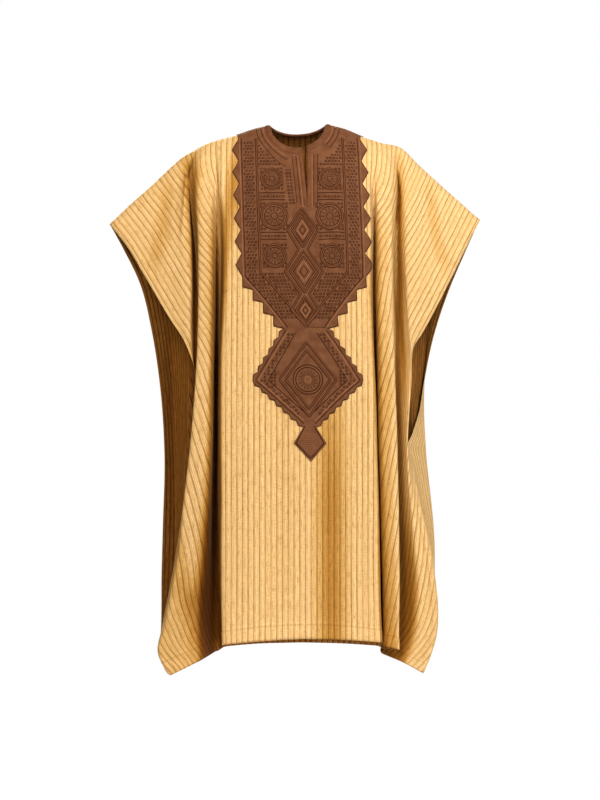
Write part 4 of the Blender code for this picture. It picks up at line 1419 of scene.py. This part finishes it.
# %% [markdown]
# ## Rolled edges of the neck and the slit
# A bias strip is rolled over the raw edge of the neck hole and sewn down on both
# sides. Its profile is a few points: how far out from the edge, and how high over the
# cloth. Swept round the neck it passes from the front cloth to the back one at the
# shoulder and stops at the slit. The slit's strip turns round the foot of the slit.

# %% A strip swept along an edge
ROLL = (  # out from the edge, and lift over the cloth
    (11.0, 2.3), (10.6, 3.1), (8.0, 3.7), (4.5, 3.9), (1.5, 3.5), (-0.8, 2.2),
    (-1.6, 0.4), (-1.0, -1.6), (1.5, -2.2), (5.0, -2.0),
)
SLIT_ROLL = (
    (8.0, 2.3), (7.6, 2.9), (5.5, 3.3), (3.0, 3.4), (0.8, 2.9), (-0.5, 1.4),
    (-0.6, 0.0), (0.2, -1.4), (3.0, -1.6),
)
ROLL_TOP = 3               # which point of a profile lies near its top
PROFILE_STEP = 2.2         # millimetres between profile points, for the twill
ROLL_THICKNESS = 0.8


def run_along(line):
    """How far along the line each of its points lies."""
    steps = np.linalg.norm(np.diff(line, axis=0), axis=1)
    return np.concatenate([[0.0], np.cumsum(steps)])


def swept_strip(name, rows, node):
    """A strip through rows of places, with its length and width kept as UV."""
    rows = np.array(rows)
    shape = bmesh.new()
    count, across = rows.shape[:2]
    bmesh.ops.create_grid(shape, x_segments=count - 1, y_segments=across - 1, size=0.5)
    uv = shape.loops.layers.uv.new("flat")
    run = run_along(rows[:, ROLL_TOP])
    for vert in shape.verts:
        i = round((vert.co.x + 0.5) * (count - 1))
        j = round((vert.co.y + 0.5) * (across - 1))
        for loop in vert.link_loops:
            loop[uv].uv = (run[i] * MM, PROFILE_STEP * j * MM)
        vert.co = rows[i, j] * MM
    made = finish_piece(name, shape, [brown_roll], ROLL_THICKNESS, -1.0)
    stands_for(made, node)
    return made


print("points in the two profiles:", len(ROLL), len(SLIT_ROLL))

# %% The neck's roll
ROLL_STEPS = 150
NECK_GAP = 1.0             # how far the neck's roll stops from the slit


def neck_angle(across):
    """The angle on the front half of the neck edge at this width."""
    return 2 * math.pi - math.acos((across - NECK_CENTRE) / NECK_HALF_WIDTH)


def neck_rows():
    """Round the neck from the slit's right edge to its left one."""
    here, _normals = front.place(*np.transpose(slit_at_neck))
    stop, start = neck_angle(here[0, 0] - NECK_GAP), neck_angle(here[1, 0] + NECK_GAP)
    rows = []
    for angle in np.linspace(start, stop + 2 * math.pi, ROLL_STEPS):
        sheet = front if math.sin(angle) < 0 else back
        row = []
        for out, lift in ROLL:
            across, depth = neck_edge(angle, out)
            place, _normals = sheet.place(*flat_of(sheet, across, depth, DEPTH), lift)
            row.append(place[0])
        rows.append(row)
    return rows


neck_roll = swept_strip("neck_roll", neck_rows(), "neck_binding")

# %% The slit's roll
EDGE_STEPS = 34            # points down each edge and round the foot
FOOT_STEPS = 9


def slit_rows():
    """Down the left edge, round the foot and up the right edge."""
    tops = [np.array(p) for p in slit_at_neck]
    foot = np.array(slit_foot)
    ways = [unit(foot - top) for top in tops]
    outs = [np.array((-ways[0][1], ways[0][0])), np.array((ways[1][1], -ways[1][0]))]
    path = []
    for t in np.linspace(0.0, 1.0, EDGE_STEPS):
        path.append((tops[0] * (1 - t) + foot * t, outs[0]))
    for t in np.linspace(0.0, 1.0, FOOT_STEPS)[1:-1]:
        down = np.array((0.0, math.sin(t * math.pi)))
        path.append((foot, unit(outs[0] * (1 - t) + outs[1] * t + down)))
    for t in np.linspace(1.0, 0.0, EDGE_STEPS):
        path.append((tops[1] * (1 - t) + foot * t, outs[1]))
    lifts = [lift for _far, lift in SLIT_ROLL]
    rows = []
    for point, out in path:
        flat = np.array([point + out * far for far, _lift in SLIT_ROLL])
        places, _normals = front.place(flat[:, 0], flat[:, 1], lifts)
        rows.append(places)
    return rows


slit_roll = swept_strip("slit_roll", slit_rows(), "slit_binding")

# %% [markdown]
# ## Laying a cord
# A cord is a long narrow grid: its columns run along the line, and its few rows bulge
# up from the cloth and come down again. Its flat places are worked out first, then
# it is laid on the cloth as the other pieces are. Its UV map runs along the cord in
# metres, so the twist of the thread has one size on every cord.

# %% One cord
CORD_STEP = 3.0            # millimetres between points along a cord
CORD_SIDES = 4             # faces over its back
WORK_LIFT = BROWN_LIFT + BROWN_CLOTH - 0.1


def evenly(path, step, closed):
    """The same line with a point at each step, and the distance of each along it."""
    path = np.array(path, float)
    if closed:
        path = np.concatenate([path, path[:1]])
    runs = run_along(path)
    wanted = np.linspace(0.0, runs[-1], max(2, round(runs[-1] / step) + 1))
    return np.stack([np.interp(wanted, runs, path[:, k]) for k in (0, 1)], axis=1), wanted


def open_at(sheet, flat):
    """How open to the front the cloth is at flat places."""
    rows = np.interp(flat[..., 1], sheet.down, np.arange(len(sheet.down)))
    columns = np.clip(flat[..., 0] + HALF_WIDTH, 0, 2 * HALF_WIDTH)
    return sheet.open[rows.round().astype(int), columns.round().astype(int)]


def lay_cord(shape, sheet, path, width, height, lift=WORK_LIFT, closed=False,
             step=CORD_STEP, sides=CORD_SIDES):
    """Adds one half-round cord on a flat path to the bmesh."""
    line, run = evenly(path, step, closed)
    way = np.gradient(line, axis=0)
    if closed:
        way[0] = way[-1] = line[1] - line[-2]
    way = unit(way) * (1 if sheet.forwards else -1)
    beside = np.stack([way[:, 1], -way[:, 0]], axis=1)
    angles = np.linspace(-math.pi / 2, math.pi / 2, sides + 1)
    flat = line[None] + beside[None] * (np.sin(angles) * width / 2)[:, None, None]
    raised = np.repeat(lift + height * np.cos(angles), len(line))
    places, _normals = sheet.place(flat[..., 0].ravel(), flat[..., 1].ravel(), raised)
    places = places.reshape(len(angles), len(line), 3) * MM
    made = bmesh.ops.create_grid(
        shape, x_segments=len(line) - 1, y_segments=sides, size=0.5
    )["verts"]
    uv = shape.loops.layers.uv["run"]
    # the cloth's openness at each point, for the painted fold shade of the gold stitches
    openness, kept = open_at(sheet, flat), shape.verts.layers.float["open"]
    for vert in made:
        i = round((vert.co.x + 0.5) * (len(line) - 1))
        j = round((vert.co.y + 0.5) * sides)
        for loop in vert.link_loops:
            loop[uv].uv = (run[i] * MM, j / sides)
        vert[kept] = openness[j, i]
        vert.co = places[j, i]
    if closed:
        ends = [v for v in made if v.is_boundary]
        bmesh.ops.remove_doubles(shape, verts=ends, dist=1e-6)


print("cords on the brown cloth lie", round(WORK_LIFT, 2), "mm over the striped one's middle")

# %% Kinds of cord
class Work:
    """Cords of a few kinds on one cloth; each kind becomes one piece."""

    KINDS = {  # finish, width, height
        "light": (light_cord, 1.7, 0.9), "dark": (dark_cord, 2.5, 0.7),
        # dark, under and edge cords are near-black: painted shade in the grooves beside the
        # raised cords and along the teeth
        "brown": (brown_cord, 3.4, 1.5), "under": (dark_cord, 6.2, 0.5),
        "gold": (gold_thread, 1.0, 0.35), "edge": (dark_cord, 1.5, 0.5),
    }

    def __init__(self, name, sheet, slot):
        self.name, self.sheet, self.slot = name, sheet, slot
        self.shapes, self.counts = {}, {}

    def cord(self, kind, flat_path, **how):
        """Lays one cord on a path in flat places."""
        if kind not in self.shapes:
            self.shapes[kind] = bmesh.new()
            self.shapes[kind].loops.layers.uv.new("run")
            self.shapes[kind].verts.layers.float.new("open")
            self.counts[kind] = 0
        _finish, width, height = self.KINDS[kind]
        how = {"width": width, "height": height, **how}
        lay_cord(self.shapes[kind], self.sheet, flat_path, **how)
        self.counts[kind] += 1

    def seen(self, kind, points, **how):
        """Lays one cord on a path given in the front view, from the axis."""
        self.cord(kind, flat_line(about_axis(points), self.sheet), **how)

    def done(self):
        """Makes the pieces."""
        made = []
        for kind, shape in self.shapes.items():
            piece = finish_piece(f"{self.name}_{kind}", shape, [self.KINDS[kind][0]])
            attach(piece, "root")
            made.append(piece)
        print(self.name, self.counts)
        return made


print("kinds of cord:", list(Work.KINDS))

# %% [markdown]
# ## The embroidery
# The yoke is worked with plain shapes that tailors have long used: bands of cord,
# lozenges and rings with petals, with rows of eyelets round them. Each shape
# is a short list of points from the yoke's axis, so the two halves mirror each other.
# A dark cord under a brown one shows on both sides of it as painted shade, so that the pair
# looks like an engraved line with a raised rim.

# %% Shapes for the embroidery
def ring(middle, radius, count=26):
    s, z = middle
    turns = [math.tau * k / count for k in range(count)]
    return [(s + radius * math.cos(t), z + radius * math.sin(t)) for t in turns]


def lozenge(middle, half_width, half_height):
    s, z = middle
    return [(s, z + half_height), (s + half_width, z), (s, z - half_height), (s - half_width, z)]


def both(points):
    return points, mirrored(points)


def couched(work, points, closed=False):
    """A brown cord with a dark one showing on both sides of it as painted shade."""
    work.seen("under", points, closed=closed)
    work.seen("brown", points, closed=closed, width=2.6, lift=WORK_LIFT + 0.3)


print("an outline of a lozenge 2 by 4:", lozenge((0, 0), 1, 2))

# %% Eyelets
EYELET_PITCH = 7.6
EYELET_RADIUS = 2.2
EYELET_POINTS = 8


def eyelet(work, place, bead=False):
    """A worked hole: a raised dark ring, its colour painted shade for the hole, some with a
    light stitch.
    """
    spot = flat_line(about_axis([place]), work.sheet)[0]
    path = ring(spot, EYELET_RADIUS, EYELET_POINTS)
    step = EYELET_RADIUS * 0.77
    work.cord("dark", path, closed=True, width=1.9, height=0.8, step=step, sides=3)
    if bead:
        ends = [(spot[0], spot[1] - 1.8), (spot[0], spot[1] + 1.8)]
        work.cord("light", ends, width=1.5, height=1.2, step=1.8, sides=2)


def eyelet_row(work, start, end, beads=3):
    """A row of eyelets along a straight line, with a light stitch in some."""
    start, end = np.array(start, float), np.array(end, float)
    count = round(np.linalg.norm(end - start) / EYELET_PITCH)
    for k in range(count + 1):
        eyelet(work, tuple(start + (end - start) * k / count), bead=k % beads == 0)


def across_at(line, height):
    """How far across a falling line lies at this height."""
    across, heights = np.transpose(line)
    return np.interp(-height, -heights, across)


def fill(work, outer, inner, top, foot, gap=7.0):
    """Staggered rows of eyelets between two lines, on both sides of the axis."""
    for row, z in enumerate(np.arange(top, foot, -EYELET_PITCH)):
        start = across_at(outer, z) + gap + row % 2 * EYELET_PITCH / 2
        stop = across_at(inner, z) - gap + 0.5
        for k, s in enumerate(np.arange(start, stop, EYELET_PITCH)):
            for side in (-1, 1):
                eyelet(work, (side * s, z), bead=(2 * row + 3 * k + side) % 5 == 0)


print("eyelets are", EYELET_PITCH, "mm apart")

# %% Borders of the yoke
BORDER = YOKE_HALF_WIDTH - TOOTH_DEPTH - 3
BAND = 39.0                # width of the band of eyelets down each side
SLANT = 1.28               # how much wider the band is across its slanting part
yoke_work = Work("yoke", front, "front_yoke")


def border_path(inset):
    """The left border line, moved in from the teeth by this much."""
    side, waist = -BORDER + inset, -YOKE_WAIST_HALF + 4 + SLANT * inset
    return [(side, -24), (side, YOKE_SIDE_FOOT - 2 + 0.35 * inset), (waist, YOKE_FOOT + 3)]


for inset, kind, width in ((0.0, "light", 1.8), (4.5, "dark", 2.2)):
    for line in both(border_path(inset)):
        yoke_work.seen(kind, line, width=width)
for line in both(border_path(BAND)):
    couched(yoke_work, line)
fill(yoke_work, border_path(4.5), border_path(BAND), -36.0, -452.0)
# a dark cord along the teeth: painted shadow at the yoke's edge
for line in both([(s + 1.2, z) for s, z in yoke_side()]):
    yoke_work.seen("edge", line)
print("border done,", yoke_work.counts)

# %% Rosettes
ROSETTES = ((67.0, -124.0, 24.0), (64.0, -212.0, 30.0), (66.0, -304.0, 26.0))
ROSETTE_RINGS = (("dark", 0.76, 26, 2.2), ("dark", 0.26, 14, 2.2), ("brown", 0.12, 8, 3.0))
PETALS = 12
CORNERS = ((-1, -1), (-1, 1), (1, -1), (1, 1))
CORNER_EYELETS = ((0.0, 0.0), (EYELET_PITCH, 0.0), (0.0, EYELET_PITCH))


def ray(work, middle, turn, near, far, width):
    """A light stitch over a dark one whose edges show as painted shade, pointing away from the
    middle.
    """
    way = np.array((math.cos(turn), math.sin(turn)))
    ends = [tuple(np.array(middle) + way * reach) for reach in (near, far)]
    work.seen("under", ends, width=width, height=0.9)
    work.seen("light", ends, width=1.1, height=1.3)


def rosette(work, middle, radius):
    couched(work, ring(middle, radius), closed=True)
    for kind, share, count, width in ROSETTE_RINGS:
        work.seen(kind, ring(middle, radius * share, count), closed=True, width=width)
    for k in range(PETALS):
        ray(work, middle, math.tau * k / PETALS, radius * 0.36, radius * 0.68, 4.0)
    for corner_across, corner_down in CORNERS:
        for back_across, back_down in CORNER_EYELETS:
            across = corner_across * (radius * 0.98 - back_across)
            down = corner_down * (radius * 0.98 - back_down)
            eyelet(work, (middle[0] + across, middle[1] + down))


for s, z, radius in ROSETTES:
    for side in (-1, 1):
        rosette(yoke_work, (side * s, z), radius)
print("rosettes", 2 * len(ROSETTES))

# %% Lozenges along the axis
LOZENGES = ((-244.0, 25.0, 40.0), (-340.0, 33.0, 48.0), (-430.0, 22.0, 32.0))
SPINE = [(0, -193), (-35, -244), (-10, -289), (-44, -340), (-10, -392), (-32, -430), (-3, -464)]

for z, half_width, half_height in LOZENGES:
    couched(yoke_work, lozenge((0, z), half_width, half_height), closed=True)
    for share, kind in ((0.74, "dark"), (0.50, "light"), (0.28, "dark")):
        inner = lozenge((0, z), half_width * share, half_height * share)
        yoke_work.seen(kind, inner, closed=True, width=2.2)
for line in both(SPINE):
    couched(yoke_work, line)
fill(yoke_work, border_path(BAND), SPINE, -346.0, -440.0, 8.0)
print("lozenges", len(LOZENGES))

# %% Bands between the rosettes
for z in (-166.0, -258.0):
    for shift in (-8.0, 8.0):
        for line in both([(-BORDER + BAND + 4, z + shift), (-37, z + shift)]):
            yoke_work.seen("dark", line, width=2.4)
    for side in (-1, 1):
        eyelet_row(yoke_work, (side * (BORDER - BAND - 8), z), (side * 41, z))
round_neck = [(-98, -27), (-75, -60), (-50, -80), (-37, -90)]
fill(yoke_work, border_path(BAND), round_neck, -44.0, -92.0)
for shift in (-3.8, 3.8):
    eyelet_row(yoke_work, (-29 + shift, -104), (-22 + shift, -182), 4)
print("bands done,", yoke_work.counts)

# %% Cords round the neck and the slit
NECK_CORDS = ((17.0, "light"), (22.0, "dark"), (32.0, "dark"))
SLIT_CORDS = ((11.0, "light"), (15.0, "dark"), (24.0, "dark"))
NECK_LADDER = (23.6, 30.4)  # the rungs' two ends, out from the edge
SLIT_LADDER = (16.6, 22.4)
LADDER_TURN = 0.085        # radians between rungs round the neck
LADDER_STEP = 4.2          # millimetres between them along the slit


def neck_cord_path(sheet, extra, low, high):
    """Part of a line round the neck hole, in flat places."""
    return [
        flat_of(sheet, *neck_edge(angle, extra), DEPTH)
        for angle in np.linspace(low, high, 30)
    ]


slit_top = [front.place(*p)[0][0] for p in slit_at_neck]
neck_arcs = (
    (math.pi + 0.12, neck_angle(slit_top[0][0] - 26.0)),
    (neck_angle(slit_top[1][0] + 28.0), 2 * math.pi - 0.12),
)
for low, high in neck_arcs:
    for extra, kind in NECK_CORDS:
        yoke_work.cord(kind, neck_cord_path(front, extra, low, high), width=1.7)
    for angle in np.arange(low + 0.02, high - 0.02, LADDER_TURN):
        ends = [flat_of(front, *neck_edge(angle, extra), DEPTH) for extra in NECK_LADDER]
        yoke_work.cord("brown", ends, width=1.9, height=1.0)

foot = np.array(slit_foot)
for side, corner in zip((-1, 1), slit_at_neck):
    top = np.array(corner)
    way = unit(foot - top)
    out = np.array((way[1], -way[0]))
    out *= side * np.sign(out[0])
    for far, kind in SLIT_CORDS:
        line = [top + out * far + way * 24, foot + out * far + way * (20 - far)]
        yoke_work.cord(kind, line, width=1.6)
    for k in np.arange(28.0, np.linalg.norm(foot - top), LADDER_STEP):
        rung = [top + way * k + out * far for far in SLIT_LADDER]
        yoke_work.cord("brown", rung, width=2.0, height=1.0)
print("neck and slit done,", yoke_work.counts)
yoke_pieces = yoke_work.done()

# %% Embroidery of the pendant
pendant_work = Work("pendant", front, "pendant")
HEART = PENDANT_WIDEST + 2  # height of the big lozenge's middle
RAYS = 16
DROP_SHAPE = (  # height and half width, from the drop's tip to the pendant's neck
    (DROP_TIP, 0), (DROP_WIDEST, DROP_HALF_WIDTH), (PENDANT_NECK, PENDANT_NECK_HALF),
)


def pendant_path(inset):
    """The left side of the pendant, moved in from its edge by this much."""
    return [
        (-YOKE_WAIST_HALF + 5 + inset, YOKE_FOOT - 4 - inset * 0.3),
        (-PENDANT_HALF_WIDTH + 7 + inset * 1.35, PENDANT_WIDEST),
        (-PENDANT_NECK_HALF + 2, PENDANT_NECK + 8 + inset * 1.3),
    ]


for inset, kind in ((0.0, "dark"), (5.0, "light"), (22.0, "dark")):
    for line in both(pendant_path(inset)):
        pendant_work.seen(kind, line, width=2.2)
# a dark cord along the teeth: painted shadow at the pendant's edge
for line in both([(s + 1.0, z) for s, z in pendant_side()[:-2]]):
    pendant_work.seen("edge", line)
for half_width, half_height in ((66, 86), (52, 68)):
    couched(pendant_work, lozenge((0, HEART), half_width, half_height), closed=True)
fill(pendant_work, pendant_path(5.0), pendant_path(22.0), -486.0, -672.0, 6.5)
for radius in (34.0, 28.0):
    pendant_work.seen("dark", ring((0, HEART), radius), closed=True)
pendant_work.seen("light", ring((0, HEART), 7.0, 14), closed=True)
for k in range(RAYS):
    ray(pendant_work, (0, HEART), math.tau * k / RAYS, 11.0, 23.0, 3.6)
for row in range(-2, 3):
    for k in range(2 - abs(row) // 2):
        for side in (-1, 1):
            place = (side * (76 + EYELET_PITCH * k), HEART + 4 + EYELET_PITCH * row)
            eyelet(pendant_work, place)
for z in np.arange(-716.0, -766.0, -4.6):
    reach = np.interp(z, *np.transpose(DROP_SHAPE)) - 8
    if reach > 3:
        pendant_work.seen("light", [(-reach, z), (reach, z)], width=1.2)
drop_edge = [
    (0, DROP_TIP + 8), (-DROP_HALF_WIDTH + 6, DROP_WIDEST),
    (-PENDANT_NECK_HALF + 4, PENDANT_NECK + 2),
]
for line in both(drop_edge):
    pendant_work.seen("dark", line)
pendant_pieces = pendant_work.done()

# %% Cords of the back yoke
back_work = Work("back_yoke", back, "back_yoke")
for extra, kind in ((14.0, "light"), (19.0, "dark")):
    back_work.cord(kind, neck_cord_path(back, extra, 0.1, math.pi - 0.1), width=1.7)
for inset, kind in ((6.0, "light"), (11.0, "dark")):
    line = [(x * (1 - inset / BACK_YOKE_HALF_WIDTH), z + inset) for x, z in back_curve]
    back_work.cord(kind, flat_line(line, back), width=1.7)
back_pieces = back_work.done()

# %% [markdown]
# ## Hems and seams
# The hem is turned up by two fingers' width and the open sides by one, and both are
# held by small stitches that just show. Below the sleeve openings the two cloths
# are sewn together at their sides. A stitch is a very short cord, so the same helper
# lays all of them.

# %% Stitches on the striped cloths
STITCH = 3.4               # length of a stitch
STITCH_PITCH = 5.6         # from the start of one to the start of the next
HEM_STITCHES = LENGTH - HEM_TURNING + 2
SIDE_STITCHES = HALF_WIDTH - SIDE_TURNING + 1.5
SEAM_AT = HALF_WIDTH - 1.2


def stitched(work, start, end):
    """A row of stitches on a straight flat line."""
    start, end = np.array(start, float), np.array(end, float)
    run = np.linalg.norm(end - start)
    way = (end - start) / run
    for k in np.arange(2.0, run - STITCH, STITCH_PITCH):
        path = [start + way * k, start + way * (k + STITCH)]
        work.cord("gold", path, lift=CLOTH / 2, sides=2, step=STITCH)


for sheet in (front, back):
    work = Work(f"{sheet.name}_hem", sheet, f"{sheet.name}_panel")
    stitched(work, (-HALF_WIDTH + 4, HEM_STITCHES), (HALF_WIDTH - 4, HEM_STITCHES))
    for side, join in ((-1, JOIN_LEFT), (1, JOIN_RIGHT)):
        stitched(work, (side * SIDE_STITCHES, 8.0), (side * SIDE_STITCHES, LENGTH - 6))
        seam = [(side * SEAM_AT, join), (side * SEAM_AT, LENGTH - 2)]
        work.cord("gold", seam, lift=CLOTH / 2, width=1.8, height=0.3, step=8.0)
    work.done()
